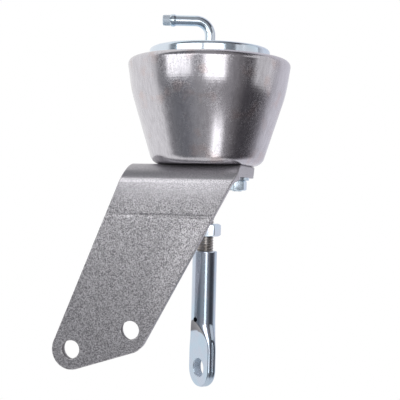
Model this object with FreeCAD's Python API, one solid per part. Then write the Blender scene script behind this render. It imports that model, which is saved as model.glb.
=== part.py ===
import FreeCAD, Part
import math
import os

# Pneumatic turbo wastegate actuator on a bent plate bracket.
# Millimetres, +Z up. The model is drawn with the rod axis on Z and the flange's top face at z = 0,
# and is shifted on export so that the origin is the centre of the bracket's two bolt holes,
# on the leg's front face.

os.makedirs("parts", exist_ok=True)
V = FreeCAD.Vector
UP = V(0, 0, 1)

# Bracket: one 5.5 mm plate, bent once
plate_t = 5.5
bend_r_inner = 3.6
leg_offset = 21.0          # rod axis to the leg's front face
flange_back = 18.0         # rod axis to the flange's back edge
flange_left = 33.2         # rod axis to the flange's left end
flange_right = 20.0        # rod axis to the flange's right end
leg_top_right = 22.0       # where the leg's right edge line meets the flange's top plane
flange_corner_r = 4.0
bolt_spacing = 31.3        # between the two bracket bolt holes
bolt_tilt = 20.2           # degrees that the line through them rises to the right
bolt_hole_d = 8.6
bolts_side = 44.1          # rod axis to the centre of the two holes, to the left
bolts_drop = 83.0          # flange top to the centre of the two holes
foot_r_left = 9.6          # round corner about the lower left hole
foot_r_right = 8.7         # round corner about the upper right hole
crease_z = -24.2           # press mark across the leg
crease_w = 1.3
crease_depth = 0.35

# Canister: drawn steel cup with a tapered body and a crimped rim
can_wall = 1.5
can_foot_r = 25.9          # where the lower cone meets the floor plane
can_foot_round = 5.5
can_knee_r = 36.6          # where the lower cone meets the upper cone
can_knee_z = 34.2
can_knee_round = 60.0
can_rim_r = 38.95
can_rim_z = 49.8
can_rim_round = 2.8
rim_wall = 0.85            # ironed thinner above the seat
rim_lip_inner_r = 34.6

# Lid: plated steel cover held by the crimp
lid_t = 1.2
lid_wall_r = 28.6
lid_shoulder_z = 55.0
lid_crown = 0.9            # rise of the top from the shoulder to the centre
lid_top_round = 1.5
lid_root_round = 1.4
lid_edge_gap = 0.1

# Hose nipple: bent tube brazed into the lid
nipple_d = 5.0
nipple_bore_d = 3.0
nipple_centre_z = 68.6
nipple_bend_r = 7.0
nipple_reach = 22.7        # rod axis to the tip
nipple_heading = 195.5     # degrees from +X, anticlockwise seen from above
nipple_stub = 0.5          # how far the tube's end stands below the lid
bead_d = 5.9
bead_length = 2.8
bead_from_tip = 3.5        # tip to the bead's near end
tip_round = 0.7
braze_r = 4.6
braze_h = 2.0

# Diaphragm, piston and what clamps them to the rod
bead_seal_h = 1.5          # diaphragm's outer edge, under the lid
web_t = 0.9
wall_gap = 0.4             # diaphragm to the canister wall
soft_gap = 0.3             # diaphragm to curved metal that moves
roll_depth = 11.0          # piston top down to the bottom of the roll
piston_r = 26.5
piston_t = 1.5
piston_skirt = 12.5
piston_round = 3.0
piston_top_z = 46.5
cup_r = 21.5
cup_t = 1.2
cup_lip = 1.2
washer_r = 7.5
washer_t = 1.0
rod_nut_af = 10.0
rod_nut_h = 2.8

# Rod
rod_d = 8.0
thread_d = 7.9
thread_top_z = -14.0
rod_bottom_z = -64.0
stub_d = 6.0
stub_past_nut = 0.4
rod_chamfer = 0.6

# Return spring and its seat
wire_d = 3.0
spring_mean_r = 17.4
spring_turns = 6.5
seat_t = 1.5
seat_lip_h = 4.0
seat_gap = 1.6             # spring to the seat's lip
seat_bush_gap = 0.7        # bush's collar to the seat

# Stud plate, studs, washers and nuts
stud_plate_t = 2.5
stud_plate_margin = 1.3    # stud heads to the plate's edge
stud_pitch = 30.0
stud_d = 5.0
stud_head_r = 4.2
stud_end_past_nut = 0.4
stud_washer_r = 5.6
stud_washer_t = 1.4
stud_nut_af = 8.0
stud_nut_h = 4.7
stud_nut_turn = 25.0       # degrees
nut_land_inset = 0.25      # a nut's flat end face stops this far inside its flats
nut_bevel = 30.0           # degrees
stud_chamfer = 0.4
hole_clearance = 0.25      # radial, stud in its holes
thread_clearance = 0.05    # radial, every thread and sliding fit

# Rod bush, wiper seal and the ferrule that holds it
bush_r = 6.5
bush_top_z = 15.0
bush_bottom_z = -1.8
bush_collar_r = 9.5
bush_collar_h = 2.0
seal_t = 2.0
seal_lip_t = 0.6
seal_lip_depth = 0.9
ferrule_wall = 1.0
ferrule_t = 0.8
ferrule_gap = 0.7          # ferrule to the bracket's centre hole

# Locknut and rod end
locknut_af = 13.0
locknut_h = 6.0
locknut_top_z = -27.6
locknut_turn = 19.0        # degrees
tube_d = 11.6
tube_top_z = -40.6
witness_d = 2.3
witness_z = -72.9
witness_heading = 26.0     # degrees from -Y towards -X
flat_t = 4.5
flat_w = 17.6
flat_heading = 41.5        # degrees from -Y towards -X
widen_top_z = -75.0        # the tube starts to widen
widen_end_z = -88.0        # the flat has its full width
arch_z = -79.5             # top of the flat face
arch_r = 8.5               # the pressing tool's round top
arch_slope = 31.0          # degrees between the tool's shoulder and the rod axis
eye_z = -96.0
eye_d = 8.2
eye_chamfer = 0.5
tip_past_eye = 9.4
seam_top_z = -81.6
seam_gap = 0.35
seam_depth = 0.7
bore_stop = 1.4            # widening to the end of the bore's straight wall

stud_xs = (-stud_pitch / 2, stud_pitch / 2)
rise_angle = math.radians(bolt_tilt)
bolt_mid = (-bolts_side, -bolts_drop)
bolt_low = (bolt_mid[0] - bolt_spacing / 2 * math.cos(rise_angle),
            bolt_mid[1] - bolt_spacing / 2 * math.sin(rise_angle))
bolt_high = (bolt_mid[0] + bolt_spacing / 2 * math.cos(rise_angle),
             bolt_mid[1] + bolt_spacing / 2 * math.sin(rise_angle))
origin_shift = V(bolts_side, leg_offset, bolts_drop)


def rounded_wire(corners, place):
    """Closed wire through corners (a, b, radius), each corner rounded by a tangent arc.

    place turns a pair (a, b) into a point in space.
    """
    edges = []
    starts = []
    count = len(corners)
    for i in range(count):
        a, b, radius = corners[i]
        here = V(a, b, 0)
        before = V(corners[i - 1][0], corners[i - 1][1], 0) - here
        after = V(corners[(i + 1) % count][0], corners[(i + 1) % count][1], 0) - here
        before.normalize()
        after.normalize()
        if radius <= 0:
            starts.append((here, None, here))
            continue
        half = before.getAngle(after) / 2
        reach = radius / math.tan(half)
        middle = before + after
        middle.normalize()
        centre = here + middle * (radius / math.sin(half))
        starts.append((here + before * reach, centre - middle * radius, here + after * reach))
    for i in range(count):
        first, crown, last = starts[i]
        following = starts[(i + 1) % count][0]
        if crown is not None:
            arc = Part.Arc(place(first), place(crown), place(last))
            edges.append(arc.toShape())
        if (following - last).Length > 1e-6:
            edges.append(Part.LineSegment(place(last), place(following)).toShape())
    return Part.Wire(edges)


def turned(corners):
    """Solid of revolution about Z from corners (radius, z, rounding)."""
    wire = rounded_wire(corners, lambda p: V(p.x, 0, p.y))
    return Part.Face(wire).revolve(V(0, 0, 0), UP, 360)


def ring(inner, outer, low, high):
    """Plain ring about Z."""
    return turned([(inner, low, 0), (outer, low, 0), (outer, high, 0), (inner, high, 0)])


def post(radius, low, high, x=0, y=0):
    """Cylinder along Z."""
    return Part.makeCylinder(radius, high - low, V(x, y, low))


def hexagon(af, low, height, hole_r, turn=0):
    """Hexagon nut about Z with both ends chamfered at 30 degrees."""
    corner_r = af / math.sqrt(3)
    points = [V(corner_r * math.cos(math.radians(60 * k + turn)),
                corner_r * math.sin(math.radians(60 * k + turn)), low) for k in range(7)]
    body = Part.Face(Part.makePolygon(points)).extrude(V(0, 0, height))
    land_r = af / 2 - nut_land_inset
    drop = (corner_r - land_r) * math.tan(math.radians(nut_bevel))
    high = low + height
    bevel = turned([(0, low, 0), (land_r, low, 0), (corner_r, low + drop, 0),
                    (corner_r, high - drop, 0), (land_r, high, 0), (0, high, 0)])
    return body.common(bevel).cut(post(hole_r, low - 1, high + 1))


def tangent_points(c1, r1, c2, r2):
    """Ends of the straight edge that touches two circles, both lying on its left side."""
    dx = c2[0] - c1[0]
    dy = c2[1] - c1[1]
    away = math.atan2(dy, dx) - math.acos((r1 - r2) / math.hypot(dx, dy))
    return ((c1[0] + r1 * math.cos(away), c1[1] + r1 * math.sin(away)),
            (c2[0] + r2 * math.cos(away), c2[1] + r2 * math.sin(away)))


def leg_outline():
    """Face of the bracket seen from the front: two round foot corners, straight edges between."""
    def place(p):
        return V(p[0], 0, p[1])

    def arc(centre, radius, first, last):
        angle_a = math.atan2(first[1] - centre[1], first[0] - centre[0])
        angle_b = math.atan2(last[1] - centre[1], last[0] - centre[0])
        if angle_b < angle_a:
            angle_b += 2 * math.pi
        middle = (angle_a + angle_b) / 2
        crown = (centre[0] + radius * math.cos(middle), centre[1] + radius * math.sin(middle))
        return Part.Arc(place(first), place(crown), place(last)).toShape()

    top_left = (-flange_left, 0)
    top_right = (leg_top_right, 0)
    above = plate_t
    left_top, left_low = tangent_points(top_left, 0, bolt_low, foot_r_left)
    under_a, under_b = tangent_points(bolt_low, foot_r_left, bolt_high, foot_r_right)
    right_low, right_top = tangent_points(bolt_high, foot_r_right, top_right, 0)
    edges = [
        Part.LineSegment(place(left_top), place(left_low)).toShape(),
        arc(bolt_low, foot_r_left, left_low, under_a),
        Part.LineSegment(place(under_a), place(under_b)).toShape(),
        arc(bolt_high, foot_r_right, under_b, right_low),
        Part.LineSegment(place(right_low), place(right_top)).toShape(),
        Part.LineSegment(place(right_top), V(leg_top_right, 0, above)).toShape(),
        Part.LineSegment(V(leg_top_right, 0, above), V(-flange_left, 0, above)).toShape(),
        Part.LineSegment(V(-flange_left, 0, above), place(left_top)).toShape(),
    ]
    return Part.Face(Part.Wire(edges))


def make_bracket():
    """L-section along X, trimmed by the leg's front outline and the flange's plan outline."""
    outer_r = bend_r_inner + plate_t
    front = -leg_offset
    foot = -bolts_drop - bolt_spacing - foot_r_left
    section = rounded_wire([
        (flange_back, 0, 0), (front, 0, outer_r), (front, foot, 0), (front + plate_t, foot, 0),
        (front + plate_t, -plate_t, bend_r_inner), (flange_back, -plate_t, 0),
    ], lambda p: V(-bolts_side * 2, p.x, p.y))
    solid = Part.Face(section).extrude(V(bolts_side * 2 + flange_right, 0, 0))
    outline = leg_outline()
    outline.translate(V(0, -leg_offset * 2, 0))
    solid = solid.common(outline.extrude(V(0, leg_offset * 2 + flange_back * 2, 0)))
    back = front - plate_t
    plan = rounded_wire([
        (-bolts_side * 2, back, 0), (flange_right, back, 0),
        (flange_right, flange_back, flange_corner_r), (-flange_left, flange_back, flange_corner_r),
        (-flange_left, front + outer_r, 0), (-bolts_side * 2, front + outer_r, 0),
    ], lambda p: V(p.x, p.y, foot))
    solid = solid.common(Part.Face(plan).extrude(V(0, 0, plate_t - foot)))
    solid = solid.cut(post(bush_r + ferrule_wall + ferrule_gap, -plate_t - 1, 1))
    for x in stud_xs:
        solid = solid.cut(post(stud_d / 2 + hole_clearance, -plate_t - 1, 1, x))
    for x, z in (bolt_low, bolt_high):
        hole = Part.makeCylinder(bolt_hole_d / 2, plate_t + 2, V(x, front - 1, z), V(0, 1, 0))
        solid = solid.cut(hole)
    groove = Part.makeBox(bolts_side * 3, crease_depth * 2, crease_w,
                          V(-bolts_side * 2, front - crease_depth, crease_z - crease_w / 2))
    return solid.cut(groove)


def can_outer_r(z):
    """Outer radius of the canister at a height on one of its two cones."""
    if z < can_knee_z:
        return can_foot_r + (can_knee_r - can_foot_r) * z / can_knee_z
    return can_knee_r + (can_rim_r - can_knee_r) * (z - can_knee_z) / (can_rim_z - can_knee_z)


lid_flange_top = can_rim_z - rim_wall
lid_flange_low = lid_flange_top - lid_t
seat_z = lid_flange_low - bead_seal_h
rim_inner_r = can_outer_r(seat_z) - rim_wall
lid_centre_z = lid_shoulder_z + lid_crown
floor_top = can_wall
stud_plate_top = floor_top + stud_plate_t
stud_plate_r = stud_pitch / 2 + stud_head_r + stud_plate_margin
seat_lip_r = spring_mean_r + wire_d / 2 + seat_gap
seat_inner_r = bush_collar_r + seat_bush_gap
spring_low = stud_plate_top + seat_t
piston_under_z = piston_top_z - piston_t
cup_low = piston_top_z + web_t
washer_low = cup_low + cup_t
rod_nut_low = washer_low + washer_t


def make_canister():
    """Cup with two cones, a thinner rim and a lip folded in over the lid's flange."""
    seat_inner_wall = can_outer_r(seat_z) - can_wall
    solid = turned([
        (bush_r + thread_clearance, 0, 0),
        (can_foot_r, 0, can_foot_round),
        (can_knee_r, can_knee_z, can_knee_round),
        (can_rim_r, can_rim_z, can_rim_round),
        (rim_lip_inner_r, can_rim_z, rim_wall * 0.45),
        (rim_lip_inner_r, lid_flange_top, 0),
        (rim_inner_r, lid_flange_top, 0),
        (rim_inner_r, seat_z, 0),
        (seat_inner_wall, seat_z, 0),
        (can_knee_r - can_wall, can_knee_z, can_knee_round - can_wall),
        (can_foot_r - can_wall, floor_top, can_foot_round - can_wall),
        (bush_r + thread_clearance, floor_top, 0),
    ])
    for x in stud_xs:
        solid = solid.cut(post(stud_d / 2 + hole_clearance, -1, floor_top + 1, x))
    return solid


def make_lid():
    """Stepped cover: flange under the crimp, straight wall and a slightly crowned top."""
    edge_r = rim_inner_r - lid_edge_gap
    hole_r = nipple_d / 2 + thread_clearance
    return turned([
        (hole_r, lid_centre_z, 0),
        (lid_wall_r, lid_shoulder_z, lid_top_round),
        (lid_wall_r, lid_flange_top, lid_root_round),
        (edge_r, lid_flange_top, 0),
        (edge_r, lid_flange_low, 0),
        (lid_wall_r - lid_t, lid_flange_low, lid_root_round + lid_t),
        (lid_wall_r - lid_t, lid_shoulder_z - lid_t, lid_top_round - lid_t),
        (hole_r, lid_centre_z - lid_t, 0),
    ])


def swept_tube(diameter, low_z, tip):
    """Round bar up the rod axis, round one bend and out along +X to the tip."""
    bend_low = nipple_centre_z - nipple_bend_r
    s = nipple_bend_r * (1 - math.sqrt(0.5))
    path = Part.Wire([
        Part.LineSegment(V(0, 0, low_z), V(0, 0, bend_low)).toShape(),
        Part.Arc(V(0, 0, bend_low), V(s, 0, nipple_centre_z - s),
                 V(nipple_bend_r, 0, nipple_centre_z)).toShape(),
        Part.LineSegment(V(nipple_bend_r, 0, nipple_centre_z),
                         V(tip, 0, nipple_centre_z)).toShape(),
    ])
    section = Part.Wire(Part.makeCircle(diameter / 2, V(0, 0, low_z), UP))
    return path.makePipeShell([section], True, False)


def make_nipple():
    """Bent tube with a raised bead near its tip that keeps the hose on."""
    low = lid_centre_z - lid_t - nipple_stub
    tube = swept_tube(nipple_d, low, nipple_reach)
    bead_start = nipple_reach - bead_from_tip - bead_length
    r = nipple_d / 2
    rise = (bead_d - nipple_d) / 2
    bead = turned([(0, 0, 0), (r - 0.1, 0, 0), (r + rise, rise * 1.6, bead_length * 0.3),
                   (r + rise, bead_length - rise * 1.6, bead_length * 0.3),
                   (r - 0.1, bead_length, 0), (0, bead_length, 0)])
    bead.rotate(V(0, 0, 0), V(0, 1, 0), 90)
    bead.translate(V(bead_start, 0, nipple_centre_z))
    solid = tube.fuse(bead)
    tip_edges = [e for e in solid.Edges
                 if abs(e.BoundBox.XMin - nipple_reach) < 1e-4 and e.BoundBox.XLength < 1e-4]
    solid = solid.makeFillet(tip_round, tip_edges)
    solid = solid.cut(swept_tube(nipple_bore_d, low - 1, nipple_reach + 1))
    solid.rotate(V(0, 0, 0), UP, nipple_heading)
    return solid


def make_braze():
    """Concave braze fillet where the nipple enters the lid."""
    r = nipple_d / 2
    base = lid_centre_z
    hole_r = r + thread_clearance
    slope = lid_crown / (lid_wall_r - hole_r)
    foot = base - slope * (braze_r - hole_r)
    sag = braze_h * 0.35
    wire = Part.Wire([
        Part.LineSegment(V(r, 0, base), V(hole_r, 0, base)).toShape(),
        Part.LineSegment(V(hole_r, 0, base), V(braze_r, 0, foot)).toShape(),
        Part.Arc(V(braze_r, 0, foot), V(r + sag, 0, base + sag), V(r, 0, base + braze_h)).toShape(),
        Part.LineSegment(V(r, 0, base + braze_h), V(r, 0, base)).toShape(),
    ])
    return Part.Face(wire).revolve(V(0, 0, 0), UP, 360)


def make_diaphragm():
    """Rubber sheet: flat middle, one hanging roll and a square edge seal under the lid."""
    inside_low = piston_r + soft_gap
    inside_high = inside_low + web_t
    roll_z = piston_top_z - roll_depth
    narrowest = min(can_outer_r(roll_z), can_outer_r(seat_z))
    outside_high = narrowest - can_wall - wall_gap
    outside_low = outside_high - web_t
    top = cup_low
    hole = stub_d / 2 + thread_clearance
    narrow = (outside_low - inside_high) / 2 - 0.01
    wide = (outside_high - inside_low) / 2 - 0.01
    return turned([
        (hole, top, 0),
        (inside_high, top, piston_round + web_t),
        (inside_high, roll_z + web_t, narrow),
        (outside_low, roll_z + web_t, narrow),
        (outside_low, lid_flange_low, 0),
        (rim_inner_r - lid_edge_gap, lid_flange_low, 0),
        (rim_inner_r - lid_edge_gap, seat_z, 0),
        (outside_high, seat_z, 0),
        (outside_high, roll_z, wide),
        (inside_low, roll_z, wide),
        (inside_low, piston_top_z, piston_round),
        (hole, piston_top_z, 0),
    ])


def make_piston():
    """Inverted pressed cup that the diaphragm rolls over and the spring pushes on."""
    skirt_z = piston_top_z - piston_skirt
    hole = stub_d / 2 + thread_clearance
    return turned([
        (hole, piston_top_z, 0),
        (piston_r, piston_top_z, piston_round),
        (piston_r, skirt_z, piston_t * 0.4),
        (piston_r - piston_t, skirt_z, piston_t * 0.4),
        (piston_r - piston_t, piston_under_z, piston_round - piston_t),
        (hole, piston_under_z, 0),
    ])


def make_diaphragm_cup():
    """Pressed plate on the pressure side, with a lip turned up at its edge."""
    hole = stub_d / 2 + thread_clearance
    top = cup_low + cup_t
    return turned([
        (hole, cup_low, 0), (cup_r, cup_low, cup_t * 1.5),
        (cup_r, top + cup_lip, 0), (cup_r - cup_t, top + cup_lip, 0),
        (cup_r - cup_t, top, cup_t * 0.5), (hole, top, 0),
    ])


def make_rod():
    """Plain rod with an M8 thread below and a shouldered stub on top."""
    stub_r = stub_d / 2
    top = rod_nut_low + rod_nut_h + stub_past_nut
    return turned([
        (0, rod_bottom_z, 0),
        (thread_d / 2 - rod_chamfer, rod_bottom_z, 0),
        (thread_d / 2, rod_bottom_z + rod_chamfer, 0),
        (thread_d / 2, thread_top_z, 0),
        (rod_d / 2, thread_top_z, 0),
        (rod_d / 2, piston_under_z, 0),
        (stub_r, piston_under_z, 0),
        (stub_r, top - rod_chamfer, 0),
        (stub_r - rod_chamfer, top, 0),
        (0, top, 0),
    ])


def make_spring():
    """Compression spring wound as one helix, with both ends ground flat."""
    space = piston_under_z - spring_low
    helix = Part.makeHelix(space / spring_turns, space, spring_mean_r)
    section = Part.Wire(Part.makeCircle(wire_d / 2, V(spring_mean_r, 0, 0), V(0, 1, 0)))
    coil = Part.Wire(helix.Edges).makePipeShell([section], True, True)
    coil.translate(V(0, 0, spring_low))
    return coil.common(post(spring_mean_r + wire_d, spring_low, piston_under_z))


def make_spring_seat():
    """Ring under the spring with a lip outside it and clearance for the stud heads."""
    low = stud_plate_top
    outer = seat_lip_r + seat_t
    solid = turned([
        (seat_inner_r, low, 0), (outer, low, seat_t), (outer, low + seat_lip_h, 0),
        (seat_lip_r, low + seat_lip_h, 0), (seat_lip_r, low + seat_t, 0.4),
        (seat_inner_r, low + seat_t, 0),
    ])
    for x in stud_xs:
        solid = solid.cut(post(stud_head_r + hole_clearance, low - 1, low + seat_t + 1, x))
    return solid


def make_stud_plate():
    """Disc on the canister's floor that carries the two studs."""
    solid = ring(bush_r + thread_clearance, stud_plate_r, floor_top, stud_plate_top)
    for x in stud_xs:
        solid = solid.cut(post(stud_d / 2 + thread_clearance, floor_top - 1, stud_plate_top + 1, x))
    return solid


washer_under = -plate_t - stud_washer_t
stud_nut_under = washer_under - stud_nut_h


def make_studs():
    """Two headed studs through the stud plate, the canister's floor and the flange."""
    studs = []
    r = stud_d / 2
    for x in stud_xs:
        low = stud_nut_under - stud_end_past_nut
        stud = turned([
            (0, low, 0), (r - stud_chamfer, low, 0), (r, low + stud_chamfer, 0),
            (r, stud_plate_top, 0),
            (stud_head_r, stud_plate_top, 0), (stud_head_r, stud_plate_top + seat_t, 0),
            (0, stud_plate_top + seat_t, 0),
        ])
        stud.translate(V(x, 0, 0))
        studs.append(stud)
    return Part.makeCompound(studs)


def make_stud_washers():
    """Two plain washers under the flange."""
    washers = []
    for x in stud_xs:
        washer = ring(stud_d / 2 + hole_clearance, stud_washer_r, washer_under, -plate_t)
        washer.translate(V(x, 0, 0))
        washers.append(washer)
    return Part.makeCompound(washers)


def make_stud_nuts():
    """Two M5 nuts."""
    nuts = []
    for x in stud_xs:
        hole_r = stud_d / 2 + thread_clearance
        nut = hexagon(stud_nut_af, stud_nut_under, stud_nut_h, hole_r, stud_nut_turn)
        nut.translate(V(x, 0, 0))
        nuts.append(nut)
    return Part.makeCompound(nuts)


def make_bush():
    """Bronze guide bush with a collar that rests on the stud plate."""
    bore = rod_d / 2 + thread_clearance
    return turned([
        (bore, bush_bottom_z, 0.3), (bush_r, bush_bottom_z, 0),
        (bush_r, stud_plate_top, 0), (bush_collar_r, stud_plate_top, 0),
        (bush_collar_r, stud_plate_top + bush_collar_h, 0.4),
        (bush_r, stud_plate_top + bush_collar_h, 0.5),
        (bush_r, bush_top_z, 0.8), (bore, bush_top_z, 0.3),
    ])


seal_low = bush_bottom_z - seal_t
ferrule_low = seal_low - ferrule_t


def make_seal():
    """Rubber wiper with a thin lip towards the rod."""
    lip_r = rod_d / 2 + thread_clearance
    middle = (seal_low + bush_bottom_z) / 2
    base_r = lip_r + seal_lip_depth
    half = seal_lip_t / 2
    return turned([
        (lip_r, middle - half, 0), (base_r, seal_low, 0), (bush_r, seal_low, 0),
        (bush_r, bush_bottom_z, 0), (base_r, bush_bottom_z, 0), (lip_r, middle + half, 0),
    ])


def make_ferrule():
    """Pressed ring over the bush's lower end that keeps the wiper in place."""
    outer = bush_r + ferrule_wall
    return turned([
        (rod_d / 2 + ferrule_gap, ferrule_low, 0), (outer, ferrule_low, 0.6),
        (outer, 0, 0), (bush_r + thread_clearance, 0, 0),
        (bush_r + thread_clearance, seal_low, 0), (rod_d / 2 + ferrule_gap, seal_low, 0),
    ])


def ellipse(across, z):
    """Section of the widened tube: an ellipse as thick as the tube, its long side along X."""
    if across - tube_d < 1e-6:
        return Part.Wire(Part.makeCircle(tube_d / 2, V(0, 0, z), UP))
    return Part.Wire(Part.Ellipse(V(across / 2, 0, z), V(0, tube_d / 2, z), V(0, 0, z)).toShape())


def rod_end_blank(shrink):
    """Widened tube before it is pressed flat, shrink narrower and shorter on each side."""
    full = flat_w - 2 * shrink
    run = widen_top_z - widen_end_z
    low = eye_z - tip_past_eye - 1
    shares = ((0.12, 0.07), (0.3, 0.36), (0.6, 0.75), (0.85, 0.95), (1.0, 1.0))
    sections = [ellipse(tube_d, widen_top_z)]
    sections += [ellipse(tube_d + (full - tube_d) * wide, widen_top_z - run * down)
                 for down, wide in shares]
    spread = Part.makeLoft(sections, True, False)
    straight = Part.Face(ellipse(full, widen_end_z)).extrude(V(0, 0, low - widen_end_z))
    r = full / 2
    tip_z = eye_z - tip_past_eye + shrink
    outline = Part.Wire([
        Part.LineSegment(V(-r - 1, 0, widen_end_z), V(-r - 1, 0, tip_z + r)).toShape(),
        Part.LineSegment(V(-r - 1, 0, tip_z + r), V(-r, 0, tip_z + r)).toShape(),
        Part.Arc(V(-r, 0, tip_z + r), V(0, 0, tip_z), V(r, 0, tip_z + r)).toShape(),
        Part.LineSegment(V(r, 0, tip_z + r), V(r + 1, 0, tip_z + r)).toShape(),
        Part.LineSegment(V(r + 1, 0, tip_z + r), V(r + 1, 0, widen_end_z)).toShape(),
        Part.LineSegment(V(r + 1, 0, widen_end_z), V(-r - 1, 0, widen_end_z)).toShape(),
    ])
    front = Part.Face(outline)
    front.translate(V(0, -tube_d, 0))
    return spread.fuse(straight.common(front.extrude(V(0, 2 * tube_d, 0))))


def about_eye_axis(corners, z):
    """Solid of revolution about a line along Y at a height, from corners (radius, y, rounding)."""
    solid = turned(corners)
    solid.rotate(V(0, 0, 0), V(1, 0, 0), 90)
    solid.translate(V(0, 0, z))
    return solid


def make_rod_end():
    """Tube tapped for the rod, pressed flat below to two layers, with an eye through both."""
    tube = turned([(0, widen_top_z, 0), (tube_d / 2, widen_top_z, 0),
                   (tube_d / 2, tube_top_z, 0.5), (0, tube_top_z, 0)])
    solid = tube.fuse(rod_end_blank(0))
    half = flat_t / 2
    clear = tube_d
    rise = (clear - half) / math.tan(math.radians(arch_slope))
    tool_reach = arch_z - arch_r - eye_z + tip_past_eye + 2
    for side in (1, -1):
        tool = about_eye_axis([(0, side * half, 0), (arch_r, side * half, 0),
                               (arch_r + rise, side * clear, 0), (0, side * clear, 0)],
                              arch_z - arch_r)
        straight = Part.makePolygon([V(x, y, arch_z - arch_r) for x, y in (
            (-arch_r, side * half), (arch_r, side * half), (arch_r + rise, side * clear),
            (-arch_r - rise, side * clear), (-arch_r, side * half))])
        solid = solid.cut(tool).cut(Part.Face(straight).extrude(V(0, 0, -tool_reach)))
    slab_h = seam_top_z - eye_z + tip_past_eye + 2
    slab = Part.makeBox(flat_w + 2, seam_gap, slab_h,
                        V(-flat_w / 2 - 1, -seam_gap / 2, seam_top_z - slab_h))
    solid = solid.cut(slab.cut(rod_end_blank(seam_depth)))
    bore_r = rod_d / 2
    bore_low = widen_top_z + bore_stop
    bore = turned([(0, bore_low - bore_r * 0.5, 0), (bore_r, bore_low, 0),
                   (bore_r, tube_top_z + 1, 0), (0, tube_top_z + 1, 0)])
    solid = solid.cut(bore)
    wide = eye_d / 2 + eye_chamfer
    solid = solid.cut(about_eye_axis([
        (0, -half - 1, 0), (wide + 1, -half - 1, 0), (eye_d / 2, -half + eye_chamfer, 0),
        (eye_d / 2, half - eye_chamfer, 0), (wide + 1, half + 1, 0), (0, half + 1, 0)], eye_z))
    solid.rotate(V(0, 0, 0), UP, -flat_heading)
    toward = math.radians(witness_heading)
    witness = Part.makeCylinder(witness_d / 2, tube_d, V(0, 0, witness_z),
                                V(-math.sin(toward), -math.cos(toward), 0))
    return solid.cut(witness)


nodes = {
    "bracket": make_bracket(),
    "canister": make_canister(),
    "lid": make_lid(),
    "hose_nipple": make_nipple(),
    "nipple_braze": make_braze(),
    "diaphragm": make_diaphragm(),
    "diaphragm_cup": make_diaphragm_cup(),
    "piston": make_piston(),
    "rod": make_rod(),
    "rod_washer": ring(stub_d / 2 + thread_clearance, washer_r, washer_low, rod_nut_low),
    "rod_nut": hexagon(rod_nut_af, rod_nut_low, rod_nut_h, stub_d / 2 + thread_clearance),
    "return_spring": make_spring(),
    "spring_seat": make_spring_seat(),
    "stud_plate": make_stud_plate(),
    "mounting_studs": make_studs(),
    "stud_washers": make_stud_washers(),
    "stud_nuts": make_stud_nuts(),
    "rod_bush": make_bush(),
    "rod_seal": make_seal(),
    "seal_ferrule": make_ferrule(),
    "locknut": hexagon(locknut_af, locknut_top_z - locknut_h, locknut_h, rod_d / 2, locknut_turn),
    "rod_end": make_rod_end(),
}

for name, shape in nodes.items():
    shape.translate(origin_shift)
    shape.exportStep("parts/" + name + ".step")
    box = shape.BoundBox
    print(name, len(shape.Solids), shape.isValid(), round(shape.Volume, 1),
          [round(v, 2) for v in (box.XMin, box.YMin, box.ZMin, box.XMax, box.YMax, box.ZMax)])
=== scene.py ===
"""Turbo wastegate actuator: the finishes and fine shapes of its pieces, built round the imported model.

A drawn steel can stands on a bent plate bracket. A bent hose nipple leaves its lid, and a sprung rod
comes down through the bracket to a locknut and to a tube that is pressed flat round an eye.

Sizes are millimetres. Shapes are drawn with the rod axis on Z and the flange's top at z = 0, and
Datum.place turns them into metres in the model's frame.
"""
import logging
import math
from abc import ABC, abstractmethod
from dataclasses import dataclass, field
from enum import Enum
from typing import Any, Callable, Sequence

import bmesh
import bpy
import numpy as np
from mathutils import Matrix, Vector, geometry


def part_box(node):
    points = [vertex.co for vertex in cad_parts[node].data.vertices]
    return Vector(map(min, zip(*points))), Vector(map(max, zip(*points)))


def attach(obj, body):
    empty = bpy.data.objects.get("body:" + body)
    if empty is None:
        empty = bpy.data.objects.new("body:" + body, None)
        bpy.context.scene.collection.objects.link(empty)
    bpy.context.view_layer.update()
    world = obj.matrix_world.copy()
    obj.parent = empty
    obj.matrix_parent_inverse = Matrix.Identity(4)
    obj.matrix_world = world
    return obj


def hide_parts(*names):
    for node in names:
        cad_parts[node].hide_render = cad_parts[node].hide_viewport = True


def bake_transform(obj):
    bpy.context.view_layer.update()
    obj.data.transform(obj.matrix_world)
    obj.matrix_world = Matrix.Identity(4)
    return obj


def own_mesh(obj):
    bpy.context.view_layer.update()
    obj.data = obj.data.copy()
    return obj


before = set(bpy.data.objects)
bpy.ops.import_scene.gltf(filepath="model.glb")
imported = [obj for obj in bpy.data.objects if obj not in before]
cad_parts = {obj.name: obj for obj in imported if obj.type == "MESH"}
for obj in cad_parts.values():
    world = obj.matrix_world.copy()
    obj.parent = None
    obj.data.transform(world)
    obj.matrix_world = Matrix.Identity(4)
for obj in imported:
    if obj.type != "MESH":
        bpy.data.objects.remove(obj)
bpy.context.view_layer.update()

log = logging.getLogger("wastegate")

MM = 0.001                   # metres in a millimetre
WELD_M = 1.5e-6              # points closer than this are one point
ARC_STEP = math.radians(6)   # longest step along a rounded corner
RUN_GUARD = 0.12             # a straight run has a point this close to each end
BORE_EDGE = 0.25             # small chamfer at the mouth of a bore
TINY_RISE = 0.01             # keeps a profile's points in order of height at a level step
CREST_SHARE = 0.35           # level part of a rolled thread's crest, worn a little wider than new
ROOT_SHARE = 0.25            # level part of its root
THREAD_DEPTH = 0.22          # depth of a thread in pitches, as far as oil leaves it open
THREAD_ROWS = 10             # rows of points in one pitch
CAMERA_AZIMUTH = 15.5        # degrees to the object's right of its front


class Body(Enum):
    """Bodies that move by themselves."""

    HOUSING = "housing"
    ROD_GROUP = "rod_group"
    LOCKNUT = "locknut"
    ROD_END = "rod_end"


class Mark(Enum):
    """Point attributes that a finish reads."""

    DULL = "dull"
    # Share of painted shade, which the zinc lays over its colour as dark grey.
    FILM = "film"
    CUT = "cut"


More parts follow.
